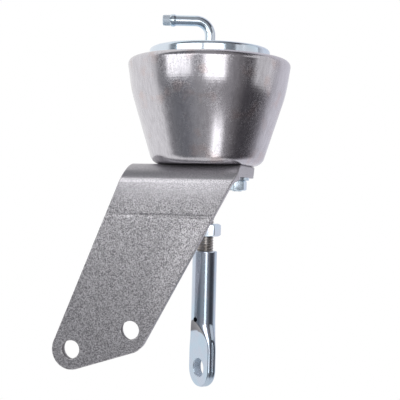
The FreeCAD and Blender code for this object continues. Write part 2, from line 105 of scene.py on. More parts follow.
class Slot(Enum):
    """Material slots, one of which each piece names."""

    CANISTER = "canister_steel"
    BRACKET = "bracket_steel"
    ZINC = "bright_zinc"
    ROD = "rod_steel"
    RUBBER = "rubber"
    SPRING = "spring_steel"
    BRONZE = "bronze"
    BRAZE = "braze"


@dataclass(frozen=True)
class Datum:
    """Where the rod axis and the flange's top face lie in the model's frame, in metres."""

    x: float
    y: float
    z: float

    @classmethod
    def from_frame(cls) -> "Datum":
        """Reads the axis from the rod's box and the flange's top from the bracket's."""
        low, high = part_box("rod")
        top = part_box("bracket")[1].z
        return cls((low.x + high.x) / 2, (low.y + high.y) / 2, top)

    def place(self, points: np.ndarray) -> np.ndarray:
        """Turns points in millimetres from the datum into metres in the model's frame.

        Args:
            points: array whose last axis is x, y, z in millimetres.

        Returns:
            The same array in metres, moved to the datum.
        """
        return points * MM + np.array((self.x, self.y, self.z))


DATUM = Datum.from_frame()


@dataclass(frozen=True)
class Surface:
    """Points in millimetres with the faces that join them, and each point's normal where it is known."""

    points: np.ndarray
    faces: np.ndarray
    normals: np.ndarray | None = None

    def moved(self, x: float = 0.0, y: float = 0.0, z: float = 0.0) -> "Surface":
        """Returns the surface moved by x, y and z."""
        return Surface(self.points + np.array((x, y, z)), self.faces, self.normals)

    def turned(self, degrees: float) -> "Surface":
        """Returns the surface turned about the rod axis, anticlockwise seen from above."""
        a = math.radians(degrees)
        matrix = np.array(((math.cos(a), math.sin(a), 0), (-math.sin(a), math.cos(a), 0), (0, 0, 1)))
        return Surface(self.points @ matrix, self.faces, self.normals)


def grid_surface(points: np.ndarray, wrap_rows: bool = False, wrap_columns: bool = True,
                 normals: np.ndarray | None = None) -> Surface:
    """Joins a grid of points with four-sided faces.

    Args:
        points: rows x columns x 3.
        wrap_rows: the last row joins the first.
        wrap_columns: the last column joins the first.
        normals: normals on the same grid, where they are known.

    Returns:
        The surface, with its points in one list.
    """
    rows, columns = points.shape[:2]
    index = np.arange(rows * columns).reshape(rows, columns)
    if wrap_rows:
        index = np.concatenate([index, index[:1]])
    if wrap_columns:
        index = np.concatenate([index, index[:, :1]], axis=1)
    faces = np.stack([index[:-1, :-1], index[:-1, 1:], index[1:, 1:], index[1:, :-1]], axis=-1)
    flat = None if normals is None else normals.reshape(-1, 3)
    return Surface(points.reshape(-1, 3), faces.reshape(-1, 4), flat)


def to_mesh(name: str, surfaces: Sequence[Surface], sharp_degrees: float = 32.0) -> bpy.types.Mesh:
    """Makes one mesh of several surfaces, closes their seams and poles and turns faces outwards.

    Args:
        name: the mesh's name.
        surfaces: what it is made of. All or none of them have normals.
        sharp_degrees: edges that turn by more than this are crisp.

    Returns:
        The mesh, in metres and in place.
    """
    starts = np.cumsum([0] + [len(s.points) for s in surfaces])
    points = DATUM.place(np.concatenate([s.points for s in surfaces]))
    faces = [row for s, start in zip(surfaces, starts) for row in (s.faces + start).tolist()]
    mesh = bpy.data.meshes.new(name)
    mesh.from_pydata(points.tolist(), [], faces)
    known = all(s.normals is not None for s in surfaces)
    if known:
        wanted = mesh.attributes.new("wanted_normal", "FLOAT_VECTOR", "POINT")
        stacked = np.concatenate([s.normals for s in surfaces]).astype(np.float32)
        wanted.data.foreach_set("vector", stacked.ravel())
    shell = bmesh.new()
    shell.from_mesh(mesh)
    bmesh.ops.remove_doubles(shell, verts=shell.verts, dist=WELD_M)
    bmesh.ops.recalc_face_normals(shell, faces=shell.faces)
    shell.to_mesh(mesh)
    shell.free()
    mesh.polygons.foreach_set("use_smooth", np.ones(len(mesh.polygons), bool))
    if known:
        kept = np.empty(len(mesh.vertices) * 3, np.float32)
        mesh.attributes["wanted_normal"].data.foreach_get("vector", kept)
        mesh.attributes.remove(mesh.attributes["wanted_normal"])
        mesh.normals_split_custom_set_from_vertices(kept.reshape(-1, 3).tolist())
    else:
        mesh.set_sharp_from_angle(angle=math.radians(sharp_degrees))
    return mesh


def unit(vector: np.ndarray) -> np.ndarray:
    """Returns vectors of length one, along the last axis."""
    return vector / np.linalg.norm(vector, axis=-1, keepdims=True)


def smooth_step(value: np.ndarray, low: float, high: float) -> np.ndarray:
    """Returns 0 below low, 1 above high and 3t^2 - 2t^3 between, where t runs from 0 to 1."""
    t = np.clip((value - low) / (high - low), 0, 1)
    return t * t * (3 - 2 * t)


def full_turn(steps: int) -> np.ndarray:
    """Returns angles evenly round a full turn, from 0 to one step before its end."""
    return np.linspace(0, 2 * math.pi, steps, endpoint=False)


def around(r: np.ndarray | float, angle: np.ndarray, z: np.ndarray | float) -> np.ndarray:
    """Returns the points (r cos angle, r sin angle, z) on the grid that the three span."""
    return np.stack(np.broadcast_arrays(r * np.cos(angle), r * np.sin(angle), z), axis=-1)


def rounded_line(corners: Sequence[tuple[float, float, float]], closed: bool = True,
                 longest: float = 2.0) -> np.ndarray:
    """Line through corners, each rounded by the arc that touches both its sides.

    The arc of radius R at a corner of half angle h has its centre R / sin(h) from the corner on the
    bisector and touches the sides R / tan(h) from it. Each straight run gets a point close to
    each end, so that smooth shading of the arcs doesn't reach into it.

    Args:
        corners: (a, b, radius) for each corner.
        closed: the last corner joins the first.
        longest: longest step on a straight run and on a wide arc.

    Returns:
        Points (a, b), the first repeated at the end of a closed line.
    """
    knots = np.array([corner[:2] for corner in corners], float)
    pieces = []
    for i, (_, _, radius) in enumerate(corners):
        here = knots[i]
        end = not closed and i in (0, len(corners) - 1)
        if radius <= 0 or end:
            pieces.append(here[None])
            continue
        before = unit(knots[i - 1] - here)
        after = unit(knots[(i + 1) % len(corners)] - here)
        half = math.acos(np.clip(before @ after, -1, 1)) / 2
        centre = here + unit(before + after) * radius / math.sin(half)
        first = here + before * radius / math.tan(half) - centre
        last = here + after * radius / math.tan(half) - centre
        turn = math.pi - 2 * half
        steps = max(3, math.ceil(turn / ARC_STEP), math.ceil(turn * radius / longest))
        share = np.linspace(0, turn, steps + 1)[:, None]
        arc = first * np.sin(turn - share) / math.sin(turn) + last * np.sin(share) / math.sin(turn)
        pieces.append(centre + arc)
    line = np.concatenate(pieces + ([pieces[0][:1]] if closed else []))
    reach = np.concatenate([[0], np.cumsum(np.linalg.norm(np.diff(line, axis=0), axis=1))])
    ends = [(a, b) for a, b in zip(reach[:-1], reach[1:]) if b - a > 4 * RUN_GUARD]
    inner = [np.linspace(a + RUN_GUARD, b - RUN_GUARD, max(2, math.ceil((b - a) / longest)))
             for a, b in ends]
    marks = np.unique(np.concatenate([reach] + inner))
    return np.stack([np.interp(marks, reach, line[:, k]) for k in (0, 1)], axis=1)


def revolve(profile: np.ndarray, columns: int = 128) -> Surface:
    """Surface of revolution about the rod axis: x = r cos(a), y = r sin(a) for each angle a.

    Args:
        profile: points (r, z), closed or from axis to axis.
        columns: steps round the axis.

    Returns:
        The surface.
    """
    return grid_surface(around(profile[:, :1], full_turn(columns), profile[:, 1:]))


def thread_depth(angle: np.ndarray, z: np.ndarray, pitch: float) -> np.ndarray:
    """Share of a thread's full depth at an angle and a height.

    The height less the angle's share of a turn, in pitches, gives the place within one ridge: a
    level crest, a level root and straight flanks between.

    Args:
        angle: radians about the axis.
        z: height.
        pitch: height of one turn.

    Returns:
        0 on the crest, 1 in the root.
    """
    place = np.abs(np.mod(z / pitch - angle / (2 * math.pi), 1.0) - 0.5) * 2
    return np.clip((place - CREST_SHARE) / (1 - CREST_SHARE - ROOT_SHARE), 0, 1)


def threaded_bar(profile: np.ndarray, low: float, high: float, pitch: float,
                 runout: float, columns: int = 64) -> Surface:
    """Turned bar with a thread cut between two heights.

    The radius is the profile's, less the thread's depth. The cut fades out over the run-out at its
    upper end.

    Args:
        profile: points (r, z) from axis to axis, in order of height.
        low: lower end of the thread.
        high: upper end of the thread.
        pitch: height of one turn.
        runout: height over which the cut fades.
        columns: steps round the axis.

    Returns:
        The surface.
    """
    fine = np.arange(low, high, pitch / THREAD_ROWS)
    plain = profile[(profile[:, 1] < low) | (profile[:, 1] > high)]
    radius = np.interp(fine, profile[:, 1], profile[:, 0])
    rows = np.concatenate([plain[plain[:, 1] < low], np.stack([radius, fine], axis=1),
                           plain[plain[:, 1] > high]])
    angle = full_turn(columns)
    r, z = rows[:, :1], rows[:, 1:]
    inside = (z >= low) & (z <= high)
    fade = 1 - smooth_step(z, high - runout, high)
    cut = THREAD_DEPTH * pitch * thread_depth(angle, z, pitch) * fade
    return grid_surface(around(np.maximum(r - np.where(inside, cut, 0), 0), angle, z))


def hexagon_nut(across_flats: float, low: float, height: float, hole_r: float, turn: float,
                land_inset: float = 0.25, bevel: float = 30.0) -> Surface:
    """Hexagon nut with a bevel on both faces that cuts its corners to arcs.

    The outline's radius at an angle is half the size across flats over the norm of the cosines to
    the six flats, of an order so high that the corners are rounded only a little. The bevel is a
    cone, so the height at which it meets the outline falls where the outline is wider.

    Args:
        across_flats: distance between two flats.
        low: lower face.
        height: thickness.
        hole_r: radius of the threaded hole.
        turn: degrees by which a corner is turned from +X.
        land_inset: distance from the flats to the edge of the flat face.
        bevel: slope of the bevel in degrees.

    Returns:
        The surface.
    """
    order = 48
    angle = full_turn(288)
    flats = np.radians(turn + 30 + 60 * np.arange(6))
    cosines = np.maximum(np.cos(angle[:, None] - flats[None]), 0)
    outline = across_flats / 2 / np.sum(cosines ** order, axis=1) ** (1 / order)
    land = across_flats / 2 - land_inset
    drop = (outline - land) * math.tan(math.radians(bevel))
    round_r = 0.12
    high = low + height
    shoulder = high - drop
    upper = [(hole_r, high - BORE_EDGE), (hole_r + BORE_EDGE, high), (land - round_r, high),
             (land, high - round_r / 6), (land + (outline - land) / 2, high - drop / 2)]
    # The turn from bevel to flat, as distances in from the outline and up from the bevel's end.
    corner = ((0.10, 0.03), (0.02, -0.08), (0.0, -0.22))
    upper += [(outline - inset, shoulder + rise) for inset, rise in corner]
    lower = [(r, low + high - z) for r, z in reversed(upper)]
    rows = upper + lower + [(hole_r, low + height / 2)]
    return grid_surface(np.stack([around(r, angle, z) for r, z in rows]), wrap_rows=True)


def linear_colour(code: str) -> tuple[float, float, float, float]:
    """Turns an sRGB hex colour such as #C0C0C4 into linear red, green, blue and alpha."""
    shares = [int(code[k:k + 2], 16) / 255 for k in (1, 3, 5)]
    red, green, blue = [c / 12.92 if c <= 0.04045 else ((c + 0.055) / 1.055) ** 2.4 for c in shares]
    return (red, green, blue, 1.0)


def add_node(tree: bpy.types.NodeTree, kind: str, inputs: dict[str | int, Any] | None = None,
             **settings: Any) -> bpy.types.Node:
    """Adds a node with its settings, values and links.

    Args:
        tree: where it goes.
        kind: the node's type name.
        inputs: for each input, by name or number, its value, the socket that feeds it, or the node
            whose first output feeds it.
        settings: properties of the node.

    Returns:
        The node.
    """
    node = tree.nodes.new(kind)
    for name, value in settings.items():
        setattr(node, name, value)
    for socket, value in (inputs or {}).items():
        if isinstance(value, bpy.types.Node):
            value = value.outputs[0]
        if isinstance(value, bpy.types.NodeSocket):
            tree.links.new(value, node.inputs[socket])
        else:
            node.inputs[socket].default_value = value
    return node


def emptied_nodes(owner: bpy.types.ID) -> bpy.types.NodeTree:
    """Returns the node tree of a material or world, with nothing in it."""
    owner.use_nodes = True
    owner.node_tree.nodes.clear()
    return owner.node_tree


@dataclass(frozen=True)
class Look:
    """Colours that lie over one another, and the shader's other inputs.

    Each layer is the socket or node that gives its share, and its hex colour.
    """

    base: str
    layers: Sequence[tuple[Any, str]]
    inputs: dict[str, Any]


@dataclass(frozen=True)
class Finish(ABC):
    """What a surface is made of and how it was finished."""

    name: str

    def material(self) -> bpy.types.Material:
        """Returns the finish's material, made once."""
        made = bpy.data.materials.get(self.name)
        if made is None:
            made = bpy.data.materials.new(self.name)
            tree = emptied_nodes(made)
            where = add_node(tree, "ShaderNodeTexCoord").outputs["Object"]
            origin = (-DATUM.x / MM, -DATUM.y / MM, -DATUM.z / MM)
            scaled = add_node(tree, "ShaderNodeMapping",
                              {0: where, "Location": origin, "Scale": (1 / MM, 1 / MM, 1 / MM)})
            look = self.shade(tree, scaled.outputs[0])
            colour = linear_colour(look.base)
            for share, code in look.layers:
                colour = add_node(tree, "ShaderNodeMix", {0: share, 6: colour, 7: linear_colour(code)},
                                  data_type="RGBA").outputs[2]
            shader = add_node(tree, "ShaderNodeBsdfPrincipled", {"Base Color": colour, **look.inputs})
            add_node(tree, "ShaderNodeOutputMaterial", {"Surface": shader})
        return made

    @abstractmethod
    def shade(self, tree: bpy.types.NodeTree, place: bpy.types.NodeSocket) -> Look:
        """Builds what feeds the shader.

        Args:
            tree: the material's nodes.
            place: coordinates in millimetres from the datum.

        Returns:
            The colours with their shares, and the shader's other inputs.
        """


@dataclass(frozen=True)
class DrawnSteel(Finish):
    """Bare low-carbon steel sheet, deep drawn and tumbled.

    The drawing leaves it smooth enough to show soft reflections, with faint lines along the draw.
    The tumbling peppers it with shallow specks that scatter light, and handling leaves rub marks.
    The specks are drawn about twice as coarse as real ones, so that they show.
    """

    light: str = "#DCDADF"
    dark: str = "#B2AFB4"
    blush: str = "#C9B8B6"
    speck_mm: float = 0.75
    cloud_mm: float = 9.0
    line_mm: float = 1.1
    line_stretch: float = 16.0
    smooth: float = 0.19
    dull: float = 0.31
    line_depth_mm: float = 0.04
    speck_depth_mm: float = 0.02

    def shade(self, tree: bpy.types.NodeTree, place: bpy.types.NodeSocket) -> Look:
        """Draw lines and a warm blush in colour, specks in roughness, and both in a shallow bump."""
        drawn = add_node(tree, "ShaderNodeVectorMath", {0: place, 1: (1, 1, 1 / self.line_stretch)},
                         operation="MULTIPLY")
        speck, cloud, lines = [
            add_node(tree, "ShaderNodeTexNoise", {"Vector": where, "Scale": 1 / size, "Detail": detail})
            for where, size, detail in ((place, self.speck_mm, 3.0), (place, self.cloud_mm, 2.0),
                                        (drawn, self.line_mm, 2.0))]
        peppered, patch, warm = [
            add_node(tree, "ShaderNodeMapRange", {0: noise, 1: low, 2: high, 3: least, 4: most},
                     interpolation_type="SMOOTHSTEP")
            for noise, low, high, least, most in ((speck, 0.42, 0.62, 0.0, 1.0),
                                                  (cloud, 0.32, 0.62, 0.25, 0.9),
                                                  (cloud, 0.55, 0.72, 0.0, 0.5))]
        dusty = add_node(tree, "ShaderNodeMath", {0: peppered, 1: patch}, operation="MULTIPLY")
        rough = add_node(tree, "ShaderNodeMapRange", {0: dusty, 3: self.smooth, 4: self.dull})
        grooved = add_node(tree, "ShaderNodeBump", {"Height": lines, "Strength": 0.08,
                                                    "Distance": self.line_depth_mm * MM})
        pitted = add_node(tree, "ShaderNodeBump", {"Height": speck, "Strength": 0.10, "Normal": grooved,
                                                   "Distance": self.speck_depth_mm * MM})
        return Look(self.dark, ((lines, self.light), (warm, self.blush)),
                    {"Metallic": 1.0, "Roughness": rough, "Normal": pitted})


@dataclass(frozen=True)
class PickledPlate(Finish):
    """Hot-rolled steel plate, pickled and tumbled.

    The scale's removal leaves a fine bright grain that scatters light, so that the flat plate looks
    an even mid grey with sparkling points. The die has rubbed the bend smoother and more even, and
    that fades out below it. A point attribute marks the blanked walls of the bolt holes, which are
    darker. The grain is drawn as coarse as it needs to show.
    """

    light: str = "#E6E4E7"
    dark: str = "#737175"
    polished: str = "#B2B0B4"
    cut: str = "#53504F"
    grain_mm: float = 0.45
    fleck_mm: float = 0.9
    grain_depth_mm: float = 0.06
    fleck_depth_mm: float = 0.07
    rough: float = 0.50
    rubbed: float = 0.26
    rubbed_z: float = -10.0
    fade_below: float = 13.0
    fade_above: tuple[float, float] = (2.0, 6.0)
    left_above: float = 0.45
    evened: float = 0.7
    bump: float = 0.6
    rubbed_bump: float = 0.12
    metallic: float = 0.85

    def shade(self, tree: bpy.types.NodeTree, place: bpy.types.NodeSocket) -> Look:
        """Grain in colour and bump, flecks in roughness and bump, and less of each on the bend."""
        grain, fleck = [
            add_node(tree, "ShaderNodeTexNoise", {"Vector": place, "Scale": 1 / size, "Detail": detail})
            for size, detail in ((self.grain_mm, 3.0), (self.fleck_mm, 4.0))]
        height = add_node(tree, "ShaderNodeSeparateXYZ", {0: place}).outputs["Z"]
        above_low, above_high = [self.rubbed_z + rise for rise in self.fade_above]
        under, over, tone, flat_rough = [
            add_node(tree, "ShaderNodeMapRange", {0: value, 1: low, 2: high, 3: first, 4: last},
                     interpolation_type="SMOOTHSTEP")
            for value, low, high, first, last in (
                (height, self.rubbed_z - self.fade_below, self.rubbed_z, 0.0, 1.0),
                (height, above_low, above_high, 1.0, self.left_above),
                (grain, 0.30, 0.68, 0.0, 1.0),
                (fleck, 0.35, 0.68, self.rough + 0.05, self.rough - 0.09))]
        worn, evened = [add_node(tree, "ShaderNodeMath", {0: under, 1: factor}, operation="MULTIPLY")
                        for factor in (over, self.evened)]
        rough = add_node(tree, "ShaderNodeMix", {0: worn, 2: flat_rough, 3: self.rubbed})
        blanked = add_node(tree, "ShaderNodeAttribute", attribute_name=Mark.CUT.value).outputs["Fac"]
        strength = add_node(tree, "ShaderNodeMapRange", {0: under, 3: self.bump, 4: self.rubbed_bump})
        coarse = add_node(tree, "ShaderNodeBump", {"Height": fleck, "Strength": strength,
                                                   "Distance": self.fleck_depth_mm * MM})
        fine = add_node(tree, "ShaderNodeBump", {"Height": grain, "Strength": strength, "Normal": coarse,
                                                 "Distance": self.grain_depth_mm * MM})
        return Look(self.dark, ((tone, self.light), (evened, self.polished), (blanked, self.cut)),
                    {"Metallic": self.metallic, "Roughness": rough, "Normal": fine})


@dataclass(frozen=True)
class BlueZinc(Finish):
    """Bright electroplated zinc with a clear blue passivation.

    The plating levels the steel to a near mirror, and the passivation tints it cold blue with a
    slight drift towards lavender. Two point attributes mark places: where a tool tore the plating
    it is matt and hardly mirrors, and where painted shade lies it is darkened towards grey.
    """

    blue: str = "#D0E0EC"
    lavender: str = "#D7E0EA"
    # Colour of the painted shade.
    film: str = "#77767B"
    drift_mm: float = 7.0
    haze_mm: float = 1.4
    haze_depth_mm: float = 0.03
    rough: float = 0.14
    dulled: float = 0.55
    dulled_metallic: float = 0.35

    def shade(self, tree: bpy.types.NodeTree, place: bpy.types.NodeSocket) -> Look:
        """Slow drift of the tint, a slight haze in roughness and bump, torn places and painted shade."""
        drift, haze = [
            add_node(tree, "ShaderNodeTexNoise", {"Vector": place, "Scale": 1 / size, "Detail": detail})
            for size, detail in ((self.drift_mm, 1.0), (self.haze_mm, 2.0))]
        # The second attribute is painted shade.
        dull, oily = [add_node(tree, "ShaderNodeAttribute", attribute_name=kind.value).outputs["Fac"]
                      for kind in (Mark.DULL, Mark.FILM)]
        turn, clear = [
            add_node(tree, "ShaderNodeMapRange", {0: noise, 1: low, 2: high, 3: first, 4: last},
                     interpolation_type="SMOOTHSTEP")
            for noise, low, high, first, last in ((drift, 0.35, 0.65, 0.0, 1.0),
                                                  (haze, 0.3, 0.7, self.rough - 0.03,
                                                   self.rough + 0.05))]
        rough = add_node(tree, "ShaderNodeMix", {0: dull, 2: clear, 3: self.dulled})
        metal = add_node(tree, "ShaderNodeMapRange", {0: dull, 3: 1.0, 4: self.dulled_metallic})
        bump = add_node(tree, "ShaderNodeBump", {"Height": haze, "Strength": 0.06,
                                                 "Distance": self.haze_depth_mm * MM})
        return Look(self.blue, ((turn, self.lavender), (oily, self.film)),
                    {"Metallic": metal, "Roughness": rough, "Normal": bump})


@dataclass(frozen=True)
class DrawnBar(Finish):
    """Bright drawn bar with a rolled thread: grey, fairly glossy, with marks round the axis."""

    light: str = "#B9B5B2"
    dark: str = "#8C8681"
    mark_mm: float = 0.25
    mark_length: float = 12.0
    mark_depth_mm: float = 0.03
    stain_mm: float = 3.0
    rough: float = 0.28

    def shade(self, tree: bpy.types.NodeTree, place: bpy.types.NodeSocket) -> Look:
        """Tone follows stains, and roughness follows marks long round the axis and short along it."""
        squeeze = (1 / self.mark_length, 1 / self.mark_length, 1)
        wide = add_node(tree, "ShaderNodeVectorMath", {0: place, 1: squeeze}, operation="MULTIPLY")
        marks, stain = [
            add_node(tree, "ShaderNodeTexNoise", {"Vector": where, "Scale": 1 / size, "Detail": detail})
            for where, size, detail in ((wide, self.mark_mm, 2.0), (place, self.stain_mm, 3.0))]
        tone = add_node(tree, "ShaderNodeMapRange", {0: stain, 1: 0.3, 2: 0.7},
                        interpolation_type="SMOOTHSTEP")
        rough = add_node(tree, "ShaderNodeMapRange", {0: marks, 1: 0.3, 2: 0.7, 3: self.rough - 0.05,
                                                      4: self.rough + 0.08})
        bump = add_node(tree, "ShaderNodeBump", {"Height": marks, "Strength": 0.15,
                                                 "Distance": self.mark_depth_mm * MM})
        return Look(self.dark, ((tone, self.light),),
                    {"Metallic": 1.0, "Roughness": rough, "Normal": bump})


@dataclass(frozen=True)
class GrainedMetal(Finish):
    """Plain metal of one tone with a fine grain, such as sintered bronze, spring wire or braze.

    The grain breaks its highlights up a little, so that it looks satin.
    """

    light: str
    dark: str
    grain_mm: float
    rough: float
    grain_depth_mm: float = 0.05

    def shade(self, tree: bpy.types.NodeTree, place: bpy.types.NodeSocket) -> Look:
        """Grain in colour, roughness and bump."""
        grain = add_node(tree, "ShaderNodeTexNoise",
                         {"Vector": place, "Scale": 1 / self.grain_mm, "Detail": 3.0})
        tone = add_node(tree, "ShaderNodeMapRange", {0: grain, 1: 0.3, 2: 0.7},
                        interpolation_type="SMOOTHSTEP")
        rough = add_node(tree, "ShaderNodeMapRange", {0: tone, 3: self.rough + 0.06,
                                                      4: self.rough - 0.06})
        bump = add_node(tree, "ShaderNodeBump", {"Height": grain, "Strength": 0.3,
                                                 "Distance": self.grain_depth_mm * MM})
        return Look(self.dark, ((tone, self.light),),
                    {"Metallic": 1.0, "Roughness": rough, "Normal": bump})


@dataclass(frozen=True)
class MouldedRubber(Finish):
    """Black nitrile rubber, moulded: a soft sheen over a faint bloom."""

    black: str = "#1C1C1E"
    bloom: str = "#2A2A2D"
    bloom_mm: float = 2.5
    pore_mm: float = 0.3
    pore_depth_mm: float = 0.04
    rough: float = 0.62
    ior: float = 1.52

    def shade(self, tree: bpy.types.NodeTree, place: bpy.types.NodeSocket) -> Look:
        """Bloom in the colour, fine pores in the bump."""
        bloom, pores = [
            add_node(tree, "ShaderNodeTexNoise", {"Vector": place, "Scale": 1 / size, "Detail": 2.0})
            for size in (self.bloom_mm, self.pore_mm)]
        bump = add_node(tree, "ShaderNodeBump", {"Height": pores, "Strength": 0.25,
                                                 "Distance": self.pore_depth_mm * MM})
        return Look(self.black, ((bloom, self.bloom),),
                    {"Roughness": self.rough, "IOR": self.ior, "Normal": bump})


DRAWN = DrawnSteel("drawn_steel")
PLATE = PickledPlate("pickled_plate")
ZINC = BlueZinc("blue_zinc_plating")
DEEP_ZINC = BlueZinc("deep_blue_zinc_plating", "#BCCDDC", "#C2CBD9")
ROD_STEEL = DrawnBar("bright_drawn_bar")
BRONZE = GrainedMetal("sintered_bronze", "#B89A68", "#8C7048", 0.4, 0.45)
WIRE = GrainedMetal("oil_tempered_wire", "#62646A", "#45474C", 0.6, 0.35)
BRAZE = GrainedMetal("brass_braze", "#D2CCB4", "#B9AE8C", 0.5, 0.28)
RUBBER = MouldedRubber("moulded_rubber")


def new_object(name: str, data: bpy.types.ID) -> bpy.types.Object:
    """Returns a new object in the scene that holds the data."""
    made = bpy.data.objects.new(name, data)
    bpy.context.scene.collection.objects.link(made)
    return made


@dataclass(frozen=True)
class Piece:
    """A finished mesh with its finish, the body it rides on and the nodes it stands for.

    A piece that is put in place its own way says how by follow, instead of being attached to its body.
    """

    name: str
    mesh: bpy.types.Mesh
    finish: Finish
    body: Body
    slot: Slot
    stands_for: tuple[str, ...] = ()
    follow: Callable[[bpy.types.Object], None] | None = None

    def add(self) -> bpy.types.Object:
        """Puts the piece into the scene.

        Returns:
            The new object.
        """
        made = new_object(self.name, self.mesh)
        self.mesh.materials.clear()
        self.mesh.materials.append(self.finish.material())
        if self.follow is None:
            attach(made, self.body.value)
        else:
            self.follow(made)
        if self.stands_for:
            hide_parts(*self.stands_for)
        log.info("%s: %d faces on %s", self.name, len(self.mesh.polygons), self.body.value)
        return made


class SubAssembly(ABC):
    """Pieces that are made and dressed together."""

    @abstractmethod
    def pieces(self) -> list[Piece]:
        """Returns the finished pieces."""

    def build(self) -> None:
        """Makes the pieces and adds them to the scene."""
        for piece in self.pieces():
            piece.add()


@dataclass
class BracketPlate(SubAssembly):
    """One plate, bent once: a flange under the can and a leg down to two bolt holes.

    It is laid out flat in x and s, where s runs over the outer face from the flange's back edge
    round the bend and down the leg, and is then folded.
    """

    plate_t: float = 5.5
    bend_r_inner: float = 3.6
    leg_offset: float = 21.0
    flange_back: float = 18.0
    flange_left: float = 33.2
    flange_right: float = 20.0
    leg_top_right: float = 22.0
    flange_corner_r: float = 4.0
    bolt_spacing: float = 31.3
    bolt_tilt: float = 20.2
    bolt_hole_r: float = 4.3
    bolts_side: float = 44.1
    bolts_drop: float = 83.0
    foot_r_left: float = 9.6
    foot_r_right: float = 8.7
    stud_x: float = 15.0
    stud_hole_r: float = 2.75
    centre_hole_r: float = 8.2
    crease_z: float = -24.2
    crease_w: float = 1.3
    crease_depth: float = 0.36
    crease_left_share: float = 0.35
    crease_full_x: float = 0.0
    crease_growth: float = 20.0
    edge_r: float = 0.6
    broken_r: float = 0.12
    hole_flare: float = 1.05
    mark_fade: float = 0.3
    bend_steps: int = 18
    crease_steps: int = 8
    hole_steps: int = 96
    row_points: int = 40
    outer_r: float = field(init=False)
    bend_start: float = field(init=False)
    bend_end: float = field(init=False)
    rows: np.ndarray = field(init=False)
    holes: list[tuple[float, float, float]] = field(init=False)
    left_side: tuple[np.ndarray, np.ndarray] = field(init=False)
    right_side: tuple[np.ndarray, np.ndarray] = field(init=False)
    foot: list[tuple[float, float, float]] = field(init=False)

    def __post_init__(self) -> None:
        """Works out where the bend, the rows of points and the holes lie on the flat plate."""
        self.outer_r = self.bend_r_inner + self.plate_t
        self.bend_start = self.flange_back + self.leg_offset - self.outer_r
        self.bend_end = self.bend_start + self.outer_r * math.pi / 2
        bend = np.linspace(self.bend_start, self.bend_end, self.bend_steps + 1)
        crease = np.linspace(1, -1, self.crease_steps + 1) * self.crease_w
        self.rows = np.concatenate([bend, self.along(self.crease_z + crease)])
        a = math.radians(self.bolt_tilt)
        bolts = [(-self.bolts_side + k * self.bolt_spacing / 2 * math.cos(a),
                  self.along(-self.bolts_drop + k * self.bolt_spacing / 2 * math.sin(a)),
                  self.bolt_hole_r) for k in (-1, 1)]
        studs = [(k * self.stud_x, self.flange_back, self.stud_hole_r) for k in (-1, 1)]
        self.holes = bolts + studs + [(0.0, self.flange_back, self.centre_hole_r)]
        self.foot = self.lay_out_foot()

    def along(self, z: np.ndarray | float) -> np.ndarray | float:
        """Returns s on the leg at a height."""
        return self.bend_end - self.outer_r - z

    def bend_angle(self, s: np.ndarray) -> np.ndarray:
        """Returns the angle round the bend at s, 0 on the flange and a right angle on the leg."""
        return np.clip((s - self.bend_start) / self.outer_r, 0, math.pi / 2)

    def fold(self, x: np.ndarray, s: np.ndarray, depth: np.ndarray) -> tuple[np.ndarray, np.ndarray]:
        """Folds the flat plate: flat, then a quarter circle about the bend's axis, then flat.

        With b the angle round the bend, the point is the bend's axis plus (outer radius - depth)
        times (-sin b, cos b) in y and z, and the straight parts go on along the tangents.

        Args:
            x: place across the plate.
            s: place along the outer face.
            depth: distance below the outer face.

        Returns:
            The points, and the outer face's normals there.
        """
        b = self.bend_angle(s)
        ahead = np.maximum(self.bend_start - s, 0)
        beyond = np.maximum(s - self.bend_end, 0)
        out = np.stack([0 * b, -np.sin(b), np.cos(b)], axis=-1)
        axis = np.array((0, self.outer_r - self.leg_offset, -self.outer_r))
        points = axis + out * (self.outer_r - depth)[..., None]
        points = points + np.stack([x, ahead, -beyond], axis=-1)
        return points, out

    def press(self, x: np.ndarray, s: np.ndarray) -> np.ndarray:
        """Depth of the mark that the press left across the leg, deeper to the right.

        Across the mark it is exp(-(1.6 u)^4) of its depth, where u runs from -1 to 1: a groove with
        a level floor and steep sides.
        """
        u = (s - self.along(self.crease_z)) / self.crease_w
        grown = smooth_step(x, self.crease_full_x - self.crease_growth, self.crease_full_x)
        share = self.crease_left_share + (1 - self.crease_left_share) * grown
        return self.crease_depth * share * np.exp(-(u * 1.6) ** 4)

    def lay_out_foot(self) -> list[tuple[float, float, float]]:
        """Corners of the leg's lower end, from the flange's right end round to its left.

        A side that touches the circle of radius R about a bolt hole starts from a point above it:
        it leans from the line to the centre by the arc sine of R over the distance. The lower side
        touches both circles and leans by the arc sine of the difference of their radii.

        Returns:
            Corners (x, s, radius) on the flat plate.
        """
        a = math.radians(self.bolt_tilt)
        half = self.bolt_spacing / 2
        mid = np.array((-self.bolts_side, -self.bolts_drop))
        bolt_way = np.array((math.cos(a), math.sin(a)))
        low, high = mid - half * bolt_way, mid + half * bolt_way
        right_top = np.array((self.leg_top_right, 0.0))
        left_top = np.array((-self.flange_left, 0.0))
        right_way = lean(high - right_top, self.foot_r_right, 1)
        left_way = lean(low - left_top, self.foot_r_left, -1)
        tilt = a - math.asin((self.foot_r_left - self.foot_r_right) / self.bolt_spacing)
        under_way = np.array((math.cos(tilt), math.sin(tilt)))
        under = low + self.foot_r_left * np.array((math.sin(tilt), -math.cos(tilt)))
        right_foot = crossing(right_top, right_way, under, under_way)
        left_foot = crossing(left_top, left_way, under, under_way)
        self.right_side = (right_top, right_way)
        self.left_side = (left_top, left_way)
        return [(right_foot[0], self.along(right_foot[1]), self.foot_r_right),
                (left_foot[0], self.along(left_foot[1]), self.foot_r_left)]

    def edge_x(self, z: np.ndarray) -> tuple[np.ndarray, np.ndarray]:
        """Returns where the left and right edges are at a height: along the leg's slanted sides."""
        left, right = [top[0] + way[0] / way[1] * (z - top[1])
                       for top, way in (self.left_side, self.right_side)]
        return left, np.minimum(right, self.flange_right)

